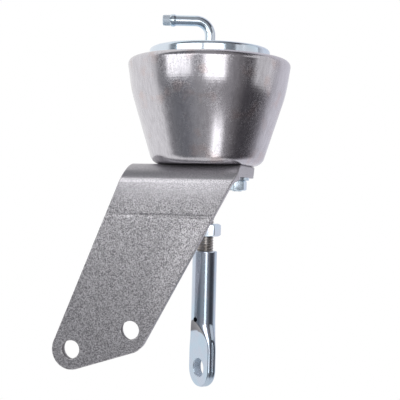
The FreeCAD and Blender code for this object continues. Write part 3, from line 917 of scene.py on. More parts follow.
    def outline(self) -> np.ndarray:
        """Edge of the flat plate, with a point at each end of every row of the bend and the mark."""
        on_outer = self.fold(0 * self.rows, self.rows, 0 * self.rows)[0]
        left, right = self.edge_x(on_outer[:, 2])
        r = self.flange_corner_r
        down = [(x, s, 0.0) for x, s in zip(right, self.rows)]
        up = [(x, s, 0.0) for x, s in zip(left[::-1], self.rows[::-1])]
        corners = [(-self.flange_left, 0.0, r), (self.flange_right, 0.0, r)] + down + self.foot + up
        line = rounded_line(corners, closed=True, longest=500.0)
        return line[:-1]

    def loops(self) -> list[tuple[np.ndarray, np.ndarray]]:
        """Edge loops on the flat plate: the outline, then each hole.

        Returns:
            For each loop its points, edge_r or a hole's flare inside the material, and unit vectors
            out of it.
        """
        edge = self.outline()
        ahead = unit(np.roll(edge, -1, axis=0) - edge)
        way = unit(ahead + np.roll(ahead, 1, axis=0))
        out = np.stack([way[:, 1], -way[:, 0]], axis=1)
        round_ = around(1.0, full_turn(self.hole_steps), 0.0)[:, :2]
        rings = [(np.array((x, s)) + round_ * (r + self.hole_flare), -round_) for x, s, r in self.holes]
        return [(edge - out * self.edge_r, out)] + rings

    def rim(self, points: np.ndarray, out: np.ndarray, reach: float) -> Surface:
        """Edge of the plate as a punch leaves it: rounded at the front and broken away at the back.

        At angle a a quarter circle of radius R is R (1 - sin a) from its face and R cos a further
        out. The front one ends at the reach, and the wall leans from it in a straight line to the
        smaller one at the back.

        Args:
            points: the loop on the flat plate.
            out: unit vectors out of the material.
            reach: from the loop to the edge of the front face.

        Returns:
            The folded strip with its normals.
        """
        a = np.linspace(math.pi / 2, 0, 7)
        depth = np.concatenate([[0], self.edge_r * (1 - np.sin(a)),
                                (self.plate_t - self.broken_r * (1 - np.sin(a)))[::-1]])
        further = np.concatenate([[0], reach - self.edge_r + self.edge_r * np.cos(a),
                                  self.broken_r * np.cos(a)[::-1]])
        facing = np.concatenate([[1], np.sin(a), -np.sin(a)[::-1]])
        flat = points[None] + out[None] * further[:, None, None]
        x, s = flat[..., 0], flat[..., 1]
        depth = depth[:, None] + self.press(x, s) * (1 - depth[:, None] / self.plate_t)
        folded, face_way = self.fold(x, s, depth)
        b = self.bend_angle(s)
        down = np.stack([0 * b, -np.cos(b), -np.sin(b)], axis=-1)
        across = np.array((1.0, 0, 0))
        side = out[None, :, :1] * across + out[None, :, 1:] * down
        tilt = np.concatenate([[0], np.cos(a), np.cos(a)[::-1]])[:, None, None]
        return grid_surface(folded, normals=face_way * facing[:, None, None] + side * tilt)

    def faces(self, loops: list[tuple[np.ndarray, np.ndarray]]) -> list[Surface]:
        """Outer and inner face: the flat plate between its loops, cut into triangles along the rows.

        Args:
            loops: the edge loops.

        Returns:
            The two folded faces with their normals.
        """
        points: list[np.ndarray] = []
        links: list[np.ndarray] = []
        start = 0
        for loop, _ in loops:
            ring = start + np.arange(len(loop))
            points.append(loop)
            links.append(np.stack([ring, np.roll(ring, -1)], axis=1))
            start += len(loop)
        edge, out = loops[0]
        wanted = self.outline()
        far_away = 1e3
        for row in self.rows:
            near = np.abs(wanted[:, 1] - row)
            left = int(np.argmin(near + far_away * (out[:, 0] > 0)))
            right = int(np.argmin(near + far_away * (out[:, 0] < 0)))
            on_bend = row < self.bend_end + RUN_GUARD
            share = np.linspace(0, 1, 2 if on_bend else self.row_points + 2)[1:-1, None]
            inner = edge[left] * (1 - share) + edge[right] * share
            chain = np.concatenate([[left], start + np.arange(len(inner)), [right]])
            points.append(inner)
            links.append(np.stack([chain[:-1], chain[1:]], axis=1))
            start += len(inner)
        flat = np.concatenate(points)
        pairs = [tuple(pair) for pair in np.concatenate(links).tolist()]
        cut = geometry.delaunay_2d_cdt([Vector(p) for p in flat.tolist()], pairs, [], 1, 1e-7)
        where = np.array([tuple(v) for v in cut[0]])
        triangles = np.array([tuple(t) for t in cut[2]])
        middle = where[triangles].mean(axis=1)
        # A triangle inside a hole's ring has its middle within (1 + 2 cos turn) / 3 of its radius,
        # and one outside has it beyond cos(turn / 2). The limit lies halfway.
        turn = 2 * math.pi / self.hole_steps
        limit = ((1 + 2 * math.cos(turn)) / 3 + math.cos(turn / 2)) / 2
        for x, s, r in self.holes:
            far = np.linalg.norm(middle - np.array((x, s)), axis=1)
            outside = far > limit * (r + self.hole_flare)
            triangles, middle = triangles[outside], middle[outside]
        x, s = where[:, 0], where[:, 1]
        mark = self.press(x, s)
        step = 0.01
        slope = (self.press(x, s + step) - mark) / step
        front, face_way = self.fold(x, s, mark)
        down = np.stack([0 * x, 0 * x, -np.ones_like(x)], axis=-1)
        back, _ = self.fold(x, s, np.full_like(x, self.plate_t))
        return [Surface(front, triangles, unit(face_way + down * slope[:, None])),
                Surface(back, triangles, -face_way)]

    def blanked(self, points: np.ndarray) -> np.ndarray:
        """Share of blanked edge: all of a bolt hole's wall, and none on the faces or elsewhere."""
        fade = self.mark_fade
        depth = points[:, 1] + self.leg_offset
        from_back = self.plate_t - depth
        inside = smooth_step(depth, fade, 2 * fade) * smooth_step(from_back, 0, fade)
        near = np.zeros(len(points))
        for x, s, r in self.holes[:2]:
            past = np.hypot(points[:, 0] - x, self.along(points[:, 2]) - s) - (r + self.hole_flare)
            near = np.maximum(near, 1 - smooth_step(past, fade / 2, 1.5 * fade))
        return inside * near

    def pieces(self) -> list[Piece]:
        """Returns the folded plate."""
        loops = self.loops()
        reaches = [self.edge_r] + [self.hole_flare] * len(self.holes)
        surfaces = [self.rim(points, out, reach) for (points, out), reach in zip(loops, reaches)]
        surfaces += self.faces(loops)
        mesh = to_mesh("bracket_plate", surfaces)
        mark(mesh, Mark.CUT, self.blanked(points_of(mesh)))
        return [Piece("bracket_plate", mesh, PLATE, Body.HOUSING, Slot.BRACKET, ("bracket",))]


def lean(way: np.ndarray, radius: float, side: int) -> np.ndarray:
    """Direction of the line that passes a circle at its edge.

    Args:
        way: vector to the circle's centre.
        radius: the circle's radius.
        side: 1 to pass it with the centre on the right, -1 on the left.

    Returns:
        The unit direction.
    """
    angle = math.atan2(way[1], way[0]) + side * math.asin(radius / math.hypot(*way))
    return np.array((math.cos(angle), math.sin(angle)))


def crossing(p: np.ndarray, v: np.ndarray, q: np.ndarray, w: np.ndarray) -> np.ndarray:
    """Returns where the line through p along v meets the line through q along w."""
    share = np.linalg.solve(np.stack([v, -w], axis=1), q - p)
    return p + v * share[0]


@dataclass
class Canister(SubAssembly):
    """Drawn can with its crimped rim, and the lid that the crimp holds."""

    wall: float = 1.5
    foot_r: float = 25.9
    foot_round: float = 5.5
    knee_r: float = 36.6
    knee_z: float = 34.2
    knee_round: float = 60.0
    rim_r: float = 38.95
    rim_z: float = 49.8
    rim_round: float = 2.8
    rim_wall: float = 0.85
    lip_round: float = 0.3825
    lip_inner_r: float = 34.6
    inner_round: float = 0.1
    seat_z: float = 46.85
    bush_hole_r: float = 6.55
    lid_t: float = 1.2
    lid_wall_r: float = 28.6
    lid_shoulder_z: float = 55.0
    lid_crown: float = 0.9
    lid_top_round: float = 1.5
    lid_root_round: float = 1.4
    lid_edge_gap: float = 0.1
    lid_edge_round: float = 0.2
    lid_hole_r: float = 2.55
    tag_azimuth: float = 24.0
    tag_z: float = 47.6
    tag_half: tuple[float, float, float] = (0.75, 0.5, 0.65)
    tag_sunk: float = 0.35
    columns: int = 320

    def rim_inner_r(self) -> float:
        """Returns the bore of the thinned rim."""
        slope = (self.rim_r - self.knee_r) / (self.rim_z - self.knee_z)
        return self.knee_r + slope * (self.seat_z - self.knee_z) - self.rim_wall

    def can(self) -> Surface:
        """Cup with two cones, a thinned rim and a lip turned in over the lid's flange."""
        inner = self.rim_inner_r()
        lid_top = self.rim_z - self.rim_wall
        thick = self.wall - self.rim_wall
        return revolve(rounded_line([
            (self.bush_hole_r, 0, 0),
            (self.foot_r, 0, self.foot_round),
            (self.knee_r, self.knee_z, self.knee_round),
            (self.rim_r, self.rim_z, self.rim_round),
            (self.lip_inner_r, self.rim_z, self.lip_round),
            (self.lip_inner_r, lid_top, self.inner_round),
            (inner, lid_top, self.inner_round),
            (inner, self.seat_z, 0),
            (inner - thick, self.seat_z, self.inner_round),
            (self.knee_r - self.wall, self.knee_z, self.knee_round),
            (self.foot_r - self.wall, self.wall, self.foot_round - self.wall),
            (self.bush_hole_r, self.wall, 0),
        ], longest=1.5), self.columns)

    def lid(self) -> Surface:
        """Stepped cover: flange under the crimp, straight wall and slightly crowned top."""
        edge = self.rim_inner_r() - self.lid_edge_gap
        top = self.rim_z - self.rim_wall
        low = top - self.lid_t
        inner = self.lid_wall_r - self.lid_t
        crown = self.lid_shoulder_z + self.lid_crown
        return revolve(rounded_line([
            (self.lid_hole_r, crown, 0),
            (self.lid_wall_r, self.lid_shoulder_z, self.lid_top_round),
            (self.lid_wall_r, top, self.lid_root_round),
            (edge, top, self.lid_edge_round),
            (edge, low, self.lid_edge_round),
            (inner, low, self.lid_root_round + self.lid_t),
            (inner, self.lid_shoulder_z - self.lid_t, self.lid_top_round - self.lid_t),
            (self.lid_hole_r, crown - self.lid_t, 0),
        ], longest=1.5), self.columns)

    def tag(self) -> Surface:
        """Small burr that the crimping tool leaves on the rim: a ball pressed long and thin."""
        u = np.linspace(-math.pi / 2, math.pi / 2, 13)[:, None]
        ball = around(np.cos(u), full_turn(24), np.sin(u)) * np.array(self.tag_half)
        at = self.rim_r - self.tag_sunk
        return grid_surface(ball).moved(at, 0, self.tag_z).turned(self.tag_azimuth)

    def pieces(self) -> list[Piece]:
        """Returns the can, its burr and the lid."""
        can = to_mesh("can_shell", [self.can()])
        tag = to_mesh("rim_burr", [self.tag()])
        lid = to_mesh("lid_cover", [self.lid()])
        return [Piece("can_shell", can, DRAWN, Body.HOUSING, Slot.CANISTER, ("canister",)),
                Piece("rim_burr", tag, DRAWN, Body.HOUSING, Slot.CANISTER),
                Piece("lid_cover", lid, ZINC, Body.HOUSING, Slot.ZINC, ("lid",))]


@dataclass
class HoseNipple(SubAssembly):
    """Tube that rises from the lid, bends once and ends in a bead that keeps the hose on."""

    diameter: float = 5.0
    bore: float = 3.0
    low_z: float = 54.2
    centre_z: float = 68.6
    bend_r: float = 7.0
    reach: float = 22.7
    heading: float = 195.5
    bead_r: float = 2.95
    bead_length: float = 2.8
    bead_from_tip: float = 3.5
    bead_ramp: float = 0.8
    bead_round: float = 0.8
    bead_root_round: float = 0.5
    tip_round: float = 0.7
    bore_round: float = 0.25
    matt_fade: tuple[float, float] = (-0.4, 0.3)
    braze_r: float = 4.6
    braze_h: float = 2.0
    braze_z: float = 55.9
    braze_foot_drop: float = 0.07

    def tube(self) -> Surface:
        """Profile carried along the tube's centre line.

        The profile gives a radius r at a length l along the line. The line goes up, then through a
        quarter circle of angle b, then out. A point is the line's point plus r times cos a along
        the way out of the bend and sin a across it.
        """
        r = self.diameter / 2
        bend_low = self.centre_z - self.bend_r
        rise = bend_low - self.low_z
        arc_end = rise + self.bend_r * math.pi / 2
        total = arc_end + self.reach - self.bend_r
        bead_end = total - self.bead_from_tip
        bead_start = bead_end - self.bead_length
        ramp, root = self.bead_ramp, self.bead_root_round
        profile = rounded_line([
            (0, self.bore / 2, 0), (total, self.bore / 2, self.bore_round), (total, r, self.tip_round),
            (bead_end, r, root), (bead_end - ramp, self.bead_r, self.bead_round),
            (bead_start + ramp, self.bead_r, self.bead_round), (bead_start, r, root), (0, r, 0),
        ], longest=0.5)
        length, radius = profile[:, :1], profile[:, 1:]
        b = np.clip((length - rise) / self.bend_r, 0, math.pi / 2)
        out = np.maximum(length - arc_end, 0)
        x = self.bend_r * (1 - np.cos(b)) + out
        z = self.low_z + np.minimum(length, rise) + self.bend_r * np.sin(b)
        a = full_turn(72)
        points = np.stack([x - radius * np.cos(a) * np.cos(b), radius * np.sin(a),
                           z + radius * np.cos(a) * np.sin(b)], axis=-1)
        return grid_surface(points).turned(self.heading)

    def braze(self) -> Surface:
        """Hollow fillet at the tube's foot, whose edge wanders a little as run metal does.

        Its width is that of a round fillet less two small shares, which follow the cosines of
        three and of five times the angle.
        """
        r = self.diameter / 2
        a = full_turn(96)
        t = np.linspace(0, math.pi / 2, 13)[:, None]
        wander = 0.05 * (1 + np.cos(3 * a + 0.6)) + 0.04 * (1 + np.cos(5 * a))
        across = r + (self.braze_r - r) * (1 - wander) * (1 - np.sin(t))
        height = self.braze_z - self.braze_foot_drop * (across - r) / (self.braze_r - r)
        height = height + self.braze_h * (1 - np.cos(t))
        rows = np.concatenate([around(r, a, self.braze_z)[None], around(across, a, height)])
        return grid_surface(rows, wrap_rows=True)

    def pieces(self) -> list[Piece]:
        """Returns the tube and its braze."""
        tube = to_mesh("nipple_tube", [self.tube()])
        a = math.radians(self.heading)
        reach = points_of(tube)[:, :2] @ np.array((math.cos(a), math.sin(a)))
        bead_end = self.reach - self.bead_from_tip
        mark(tube, Mark.DULL, smooth_step(reach - bead_end, *self.matt_fade))
        fillet = to_mesh("braze_fillet", [self.braze()], 60.0)
        return [Piece("nipple_tube", tube, ZINC, Body.HOUSING, Slot.ZINC, ("hose_nipple",)),
                Piece("braze_fillet", fillet, BRAZE, Body.HOUSING, Slot.BRAZE, ("nipple_braze",))]


@dataclass
class StudFixings(SubAssembly):
    """Two headed studs with their washers and nuts under the flange."""

    stud_x: float = 15.0
    stud_r: float = 2.5
    pitch: float = 0.8
    runout: float = 1.0
    chamfer: float = 0.4
    head_r: float = 4.2
    head_low: float = 4.0
    head_high: float = 5.5
    head_round: float = 0.2
    plate_t: float = 5.5
    washer_r: float = 5.6
    washer_round: float = 0.15
    washer_t: float = 1.4
    washer_hole_r: float = 2.75
    nut_af: float = 8.0
    nut_h: float = 4.7
    nut_turn: float = 25.0
    nut_clearance: float = 0.05
    end_past_nut: float = 0.4

    def both(self, surface: Surface) -> list[Surface]:
        """Returns the surface at each stud."""
        return [surface.moved(x) for x in (-self.stud_x, self.stud_x)]

    def pieces(self) -> list[Piece]:
        """Returns the studs, washers and nuts, each pair as one piece."""
        under = -self.plate_t - self.washer_t
        low = under - self.nut_h - self.end_past_nut
        profile = rounded_line([
            (0, low, 0), (self.stud_r - self.chamfer, low, 0), (self.stud_r, low + self.chamfer, 0),
            (self.stud_r, self.head_low, 0), (self.head_r, self.head_low + TINY_RISE, self.head_round),
            (self.head_r, self.head_high, self.head_round), (0, self.head_high + TINY_RISE, 0),
        ], closed=False)
        stud = threaded_bar(profile, low + 5 * TINY_RISE, under, self.pitch, self.runout, 48)
        edge = self.washer_round
        washer = revolve(rounded_line([
            (self.washer_hole_r, under, edge), (self.washer_r, under, 2 * edge),
            (self.washer_r, -self.plate_t, edge), (self.washer_hole_r, -self.plate_t, edge)]), 96)
        nut_bore = self.stud_r + self.nut_clearance
        nut = hexagon_nut(self.nut_af, under - self.nut_h, self.nut_h, nut_bore, self.nut_turn)
        rows = (("stud_pair", stud, "mounting_studs"), ("washer_pair", washer, "stud_washers"),
                ("stud_nut_pair", nut, "stud_nuts"))
        return [Piece(name, to_mesh(name, self.both(shape)), ZINC, Body.HOUSING, Slot.ZINC, (node,))
                for name, shape, node in rows]


@dataclass
class RodAndLocknut(SubAssembly):
    """Rod with its rolled thread, and the locknut that runs on it."""

    rod_r: float = 4.0
    thread_r: float = 3.95
    pitch: float = 1.25
    thread_top: float = -14.0
    bottom: float = -64.0
    shoulder: float = 45.0
    stub_r: float = 3.0
    top: float = 52.8
    chamfer: float = 0.6
    runout: float = 2.5
    nut_af: float = 13.0
    nut_h: float = 6.0
    nut_top: float = -27.6
    nut_turn: float = 19.0

    def pieces(self) -> list[Piece]:
        """Returns the rod and the locknut."""
        profile = rounded_line([
            (0, self.bottom, 0), (self.thread_r - self.chamfer, self.bottom + TINY_RISE, 0),
            (self.thread_r, self.bottom + self.chamfer, 0), (self.thread_r, self.thread_top, 0),
            (self.rod_r, self.thread_top + 5 * TINY_RISE, 0), (self.rod_r, self.shoulder, 0),
            (self.stub_r, self.shoulder + TINY_RISE, 0), (self.stub_r, self.top - self.chamfer, 0),
            (self.stub_r - self.chamfer, self.top, 0), (0, self.top + TINY_RISE / 10, 0),
        ], closed=False, longest=4.0)
        first = self.bottom + 10 * TINY_RISE
        rod = threaded_bar(profile, first, self.thread_top, self.pitch, self.runout)
        nut = hexagon_nut(self.nut_af, self.nut_top - self.nut_h, self.nut_h, self.rod_r, self.nut_turn)
        return [Piece("threaded_rod", to_mesh("threaded_rod", [rod]), ROD_STEEL, Body.ROD_GROUP,
                      Slot.ROD, ("rod",)),
                Piece("lock_nut", to_mesh("lock_nut", [nut]), ZINC, Body.LOCKNUT, Slot.ZINC,
                      ("locknut",))]


@dataclass
class RodEnd(SubAssembly):
    """Tube that screws on the rod, pressed flat at its lower end round an eye."""

    tube_r: float = 5.8
    bore_r: float = 4.0
    top: float = -40.6
    widen_top: float = -74.5
    widen_end: float = -88.5
    flat_half: float = 2.25
    wide_r: float = 8.8
    heading: float = 41.5
    arch_z: float = -79.5
    arch_r: float = 8.5
    arch_slope: float = 31.0
    arch_soft: float = 0.22
    edge_soft: float = 0.18
    # Where painted shade lies: on one side of the slope from tube to flat, and on the flat's top.
    film_low: float = -78.4
    film_top: float = -71.5
    film_arch: float = 0.03
    film_near: tuple[float, float] = (0.15, 0.45)
    film_rise: tuple[float, float] = (0.15, 0.5)
    film_side: tuple[float, float] = (-1.2, 0.4)
    film_fade: float = 0.5
    wall_fade: tuple[float, float] = (0.1, 0.3)
    eye_z: float = -96.0
    eye_r: float = 4.1
    eye_chamfer: float = 0.5
    eye_edge_round: float = 0.3
    tip_past_eye: float = 9.4
    round_above: float = -70.5
    row_step: float = 0.2
    seam_top: float = -81.6
    seam_fade: float = 4.0
    trough_depth: float = 0.28
    trough_half: float = 0.95
    slit_depth: float = 0.35
    slit_half: float = 0.3
    bore_low: float = -73.6
    witness_r: float = 1.15
    witness_z: float = -72.9
    witness_heading: float = 26.0

    def half_width(self, z: np.ndarray) -> np.ndarray:
        """Half the width where the tube spreads: a smooth step of the drop's share to the power 0.75.

        The power makes it spread sooner than a plain smooth step would.
        """
        down = np.clip((self.widen_top - z) / (self.widen_top - self.widen_end), 0, 1) ** 0.75
        return self.tube_r + (self.wide_r - self.tube_r) * smooth_step(down, 0, 1)

    def tool(self, x: np.ndarray, z: np.ndarray) -> np.ndarray:
        """Height of the pressing tool over the middle plane.

        It is the flat's half thickness inside the tool's outline, which is a half circle over a
        straight strip. Beyond it rises by the slope times the distance, with the change rounded by
        a soft maximum.
        """
        above = np.maximum(z - (self.arch_z - self.arch_r), 0)
        past = np.hypot(x, above) - self.arch_r
        rounded = self.arch_soft * np.logaddexp(0, past / self.arch_soft)
        return self.flat_half + rounded * math.tan(math.radians(self.arch_slope))

    def body(self) -> Surface:
        """Outer skin and bore.

        Each row is a closed section: an ellipse x = w cos a, y = tube_r sin a, cut back softly to
        the tool's height and hollowed where the two pressed layers meet. Its points crowd towards
        the narrow sides. Below the tip's centre the rows turn about that centre, so that the last
        one folds onto itself and closes the tip.
        """
        crowding = 0.36
        t = full_turn(288)
        a = t - crowding * np.sin(2 * t)
        tip_rows = 32
        centre_z = self.eye_z - self.tip_past_eye + self.wide_r
        # The rows lie close together from a little above the widening to a little below it.
        fine = np.arange(self.widen_top + 3, self.widen_end - 1.5, -self.row_step)
        z = np.concatenate([[self.top - 0.5, self.top - 0.62, self.top - 5, self.top - 20,
                             self.widen_top + 4.5], fine,
                            np.linspace(self.widen_end - 1.9, centre_z, 10)])
        turn = np.linspace(0, math.pi / 2, tip_rows + 1)[1:]
        turn = np.concatenate([np.zeros(len(z)), turn])[:, None]
        z = np.concatenate([z, np.full(tip_rows, centre_z)])[:, None]
        round_y = self.tube_r * np.abs(np.sin(a))[None]
        fade = smooth_step(self.seam_top - z, 0, self.seam_fade)
        hollow = (self.trough_depth * np.exp(-(round_y / self.trough_half) ** 2)
                  + self.slit_depth * np.exp(-(round_y / self.slit_half) ** 2))
        across = self.half_width(z) * np.cos(a)[None]
        across = across - np.sign(across) * hollow * fade
        level = z - np.abs(across) * np.sin(turn)
        across = across * np.cos(turn)
        soft = self.edge_soft
        pressed = -soft * np.logaddexp(-round_y / soft, -self.tool(across, level) / soft)
        height = np.where(level > self.round_above, round_y, np.maximum(pressed, 0))
        skin = np.stack([across, np.sign(np.sin(a))[None] * height, level + 0 * across], axis=-1)
        inner = rounded_line([
            (0, self.bore_low - self.bore_r * 0.5, 0), (self.bore_r, self.bore_low, 0),
            (self.bore_r, self.top - BORE_EDGE, 0), (self.bore_r + BORE_EDGE, self.top, 0),
            (self.tube_r - 0.5, self.top, 0), (self.tube_r - 0.15, self.top - 0.15, 0)], closed=False)
        return grid_surface(np.concatenate([around(inner[:, :1], a, inner[:, 1:]), skin]))

    def cutters(self) -> list[Surface]:
        """Punch for the eye, a cylinder with a flared mouth at each face, and the witness drill."""
        half = self.flat_half
        past_face = 1.0
        reach = half + past_face
        mouth_r = self.eye_r + self.eye_chamfer + 0.9 * past_face
        punch = revolve(rounded_line([
            (0, -reach, 0), (mouth_r, -reach, 0),
            (self.eye_r, self.eye_chamfer - half, self.eye_edge_round),
            (self.eye_r, half - self.eye_chamfer, self.eye_edge_round),
            (mouth_r, reach, 0), (0, reach, 0)], closed=False), 96)
        laid = Surface(punch.points[:, [0, 2, 1]] + np.array((0, 0, self.eye_z)), punch.faces)
        far = 2 * self.tube_r + 0.4
        drill = revolve(rounded_line([(0, 0, 0), (self.witness_r, 0, 0), (self.witness_r, far, 0),
                                      (0, far, 0)], closed=False), 48)
        across = Surface(drill.points[:, [0, 2, 1]] * np.array((1, -1, 1))
                         + np.array((0, 0, self.witness_z)), drill.faces)
        return [laid, across.turned(self.heading - self.witness_heading)]

    def own_axes(self, points: np.ndarray) -> tuple[np.ndarray, np.ndarray, np.ndarray]:
        """Returns points as x across the flat, y out of it and z, before the rod end is turned."""
        a = math.radians(self.heading)
        x = points[:, 0] * math.cos(a) - points[:, 1] * math.sin(a)
        y = points[:, 0] * math.sin(a) + points[:, 1] * math.cos(a)
        return x, y, points[:, 2]

    def shoulder_film(self, points: np.ndarray) -> np.ndarray:
        """Share of painted shade: full on one side of the tube-to-flat slope and on the flat's top.

        On the flat it ends below at an arch, which lies lower by a factor times x^2 at a distance x from
        the middle.
        """
        x, y, z = self.own_axes(points)
        height = self.tool(x, z)
        near = 1 - smooth_step(np.abs(np.abs(y) - height), *self.film_near)
        on_slope = smooth_step(height - self.flat_half, *self.film_rise)
        on_slope = on_slope * smooth_step(x, *self.film_side)
        on_flat = smooth_step(z + self.film_arch * x ** 2 - self.film_low, -self.film_fade,
                              self.film_fade)
        return near * np.maximum(on_slope, on_flat) * (z < self.film_top)

    def eye_wall(self, points: np.ndarray) -> np.ndarray:
        """Share of dull surface: full on the punched wall of the eye."""
        x, _, z = self.own_axes(points)
        return 1 - smooth_step(np.hypot(x, z - self.eye_z) - self.eye_r, *self.wall_fade)

    def pieces(self) -> list[Piece]:
        """Returns the tube with its eye and witness hole cut."""
        mesh = to_mesh("rod_end_tube", [self.body().turned(-self.heading)], 40.0)
        tools = [to_mesh("punch", [c.turned(-self.heading)]) for c in self.cutters()]
        cut = cut_away(mesh, tools, 33.0)
        # Painted shade on the shoulder and the flat's top.
        mark(cut, Mark.FILM, self.shoulder_film(points_of(cut)))
        mark(cut, Mark.DULL, self.eye_wall(points_of(cut)))
        return [Piece("rod_end_tube", cut, DEEP_ZINC, Body.ROD_END, Slot.ZINC, ("rod_end",))]


def points_of(mesh: bpy.types.Mesh) -> np.ndarray:
    """Returns a mesh's points in millimetres from the datum."""
    flat = np.empty(len(mesh.vertices) * 3, np.float32)
    mesh.vertices.foreach_get("co", flat)
    return (flat.reshape(-1, 3) - np.array((DATUM.x, DATUM.y, DATUM.z))) / MM


def mark(mesh: bpy.types.Mesh, kind: Mark, shares: np.ndarray) -> None:
    """Writes a share from 0 to 1 for each point, which the finish reads.

    Args:
        mesh: the mesh.
        kind: what the share means.
        shares: one for each point.
    """
    layer = mesh.attributes.new(kind.value, "FLOAT", "POINT")
    layer.data.foreach_set("value", shares.astype(np.float32))


def cut_away(mesh: bpy.types.Mesh, tools: Sequence[bpy.types.Mesh],
             sharp_degrees: float) -> bpy.types.Mesh:
    """Cuts tools out of a mesh.

    Args:
        mesh: a closed mesh.
        tools: closed meshes to take away.
        sharp_degrees: edges that turn by more than this are crisp.

    Returns:
        A new mesh of the same name.
    """
    body = new_object("cut_body", mesh)
    helpers = [new_object("cut_tool", tool) for tool in tools]
    for helper in helpers:
        step = body.modifiers.new("cut", "BOOLEAN")
        step.operation = "DIFFERENCE"
        step.solver = "EXACT"
        step.object = helper
    graph = bpy.context.evaluated_depsgraph_get()
    made = bpy.data.meshes.new_from_object(body.evaluated_get(graph))
    name = mesh.name
    for used in [body] + helpers:
        bpy.data.objects.remove(used)
    for spent in [mesh] + list(tools):
        bpy.data.meshes.remove(spent)
    made.name = name
    made.polygons.foreach_set("use_smooth", np.ones(len(made.polygons), bool))
    made.set_sharp_from_angle(angle=math.radians(sharp_degrees))
    return made


@dataclass
class SpringAndDiaphragm(SubAssembly):
    """What changes shape inside the can as the rod slides.

    The diaphragm is cut along the bottom of its roll into an outer part, which stays with the can,
    and an inner part above the roll.
    """

    wire_d: float = 3.0
    coil_r: float = 17.4
    turns: float = 6.5
    closed_turns: float = 0.54
    spring_low: float = 5.5
    spring_high: float = 45.0
    travel: float = 10.0
    web_t: float = 0.9
    hole_r: float = 3.05
    piston_top: float = 46.5
    piston_round: float = 3.0
    inside_r: float = 26.8
    outside_r: float = 34.896
    roll_low: float = 35.5
    seal_r: float = 37.465
    seal_low: float = 46.25
    seal_high: float = 47.75
    cut_gap: float = 0.01

    def coil(self) -> bpy.types.Mesh:
        """Round wire wound along a helix, with a closed turn at each end.

        At turn angle t the wire's centre is (R cos t, R sin t) and its height rises evenly but for
        the closed turns. At wire angle w a point is r cos w further out and r sin w higher.

        Returns:
            The spring's mesh.
        """
        t = np.linspace(0, 2 * math.pi * self.turns, 400)
        t = np.concatenate([t[:1], t, t[-1:]])[:, None]
        w = full_turn(18)
        thick = np.full_like(t, self.wire_d / 2)
        thick[[0, -1]] = 0
        closed = 2 * math.pi * self.closed_turns
        share = np.clip((t - closed) / (t[-1] - 2 * closed), 0, 1)
        r = self.coil_r + thick * np.cos(w)
        rise = self.spring_high - self.spring_low - self.wire_d
        z = self.spring_low + self.wire_d / 2 + rise * share + thick * np.sin(w)
        return to_mesh("return_coil", [grid_surface(around(r, t, z))])

    def shorten(self, made: bpy.types.Object) -> None:
        """Puts the spring on the housing with a mesh of its own."""
        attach(made, Body.HOUSING.value)
        seat = DATUM.place(np.array((0, 0, self.spring_low)))
        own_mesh(made)

    def roll(self, made: bpy.types.Object) -> None:
        """Bakes the place of the diaphragm's inner part into its mesh."""
        low = DATUM.place(np.array((0, 0, self.roll_low + self.web_t)))
        high = DATUM.place(np.array((0, 0, self.piston_top - self.piston_round)))
        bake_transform(made)

    def pieces(self) -> list[Piece]:
        """Returns the spring and the two parts of the diaphragm."""
        inner_high = self.inside_r + self.web_t
        outer_low = self.outside_r - self.web_t
        top = self.piston_top + self.web_t
        split = (self.inside_r + self.outside_r) / 2
        narrow = split - inner_high - self.cut_gap
        wide = split - self.inside_r - self.cut_gap
        floor = self.roll_low + self.web_t
        inner = rounded_line([
            (self.hole_r, top, 0), (inner_high, top, self.piston_round + self.web_t),
            (inner_high, floor, narrow), (split, floor, 0), (split, self.roll_low, 0),
            (self.inside_r, self.roll_low, wide), (self.inside_r, self.piston_top, self.piston_round),
            (self.hole_r, self.piston_top, 0)])
        outer = rounded_line([
            (split, floor, 0), (outer_low, floor, narrow), (outer_low, self.seal_high, 0),
            (self.seal_r, self.seal_high, 0), (self.seal_r, self.seal_low, 0),
            (self.outside_r, self.seal_low, 0), (self.outside_r, self.roll_low, wide),
            (split, self.roll_low, 0)])
        return [
            Piece("return_coil", self.coil(), WIRE, Body.HOUSING, Slot.SPRING, ("return_spring",),
                  self.shorten),
            Piece("diaphragm_edge", to_mesh("diaphragm_edge", [revolve(outer)]), RUBBER, Body.HOUSING,
                  Slot.RUBBER, ("diaphragm",)),
            Piece("diaphragm_middle", to_mesh("diaphragm_middle", [revolve(inner)]), RUBBER,
                  Body.ROD_GROUP, Slot.RUBBER, (), self.roll)]


HIDDEN_FINISHES: dict[str, Finish] = {
    "rod_seal": RUBBER,
    "rod_bush": BRONZE,
    "diaphragm_cup": ZINC,
    "piston": ZINC,
    "rod_washer": ZINC,
    "rod_nut": ZINC,
    "spring_seat": ZINC,
    "stud_plate": ZINC,
    "seal_ferrule": ZINC,
}


def dress_inner_nodes() -> None:
    """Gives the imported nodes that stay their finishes."""
    for name, finish in HIDDEN_FINISHES.items():
        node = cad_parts[name]
        node.data.materials.clear()
        node.data.materials.append(finish.material())
        log.info("%s keeps its packed shape", name)


@dataclass(frozen=True)
class SoftBox:
    """Lit panel that stands round the object and faces the rod axis.

    Its place is given from the axis: forward towards the camera, lateral to the camera's right.
    """

    name: str
    forward: float
    lateral: float
    low: float
    high: float
    width: float
    glow: float

    def add(self) -> None:
        """Adds the lamp. Its power is glow times pi times its area, so that glow is what it shows."""
        towards, right = view_axes()
        level = (self.low + self.high) / 2
        lamp = bpy.data.lights.new(self.name, "AREA")
        lamp.shape = "RECTANGLE"
        lamp.size = self.width * MM
        lamp.size_y = (self.high - self.low) * MM
        lamp.energy = self.glow * math.pi * lamp.size * lamp.size_y
        box = new_object(self.name, lamp)
        away = towards * self.forward + right * self.lateral
        box.location = DATUM.place(away + np.array((0, 0, level)))
        box.rotation_euler = Vector(-away).to_track_quat("-Z", "Y").to_euler()
        box.visible_camera = False
        log.info("lamp %s", self.name)


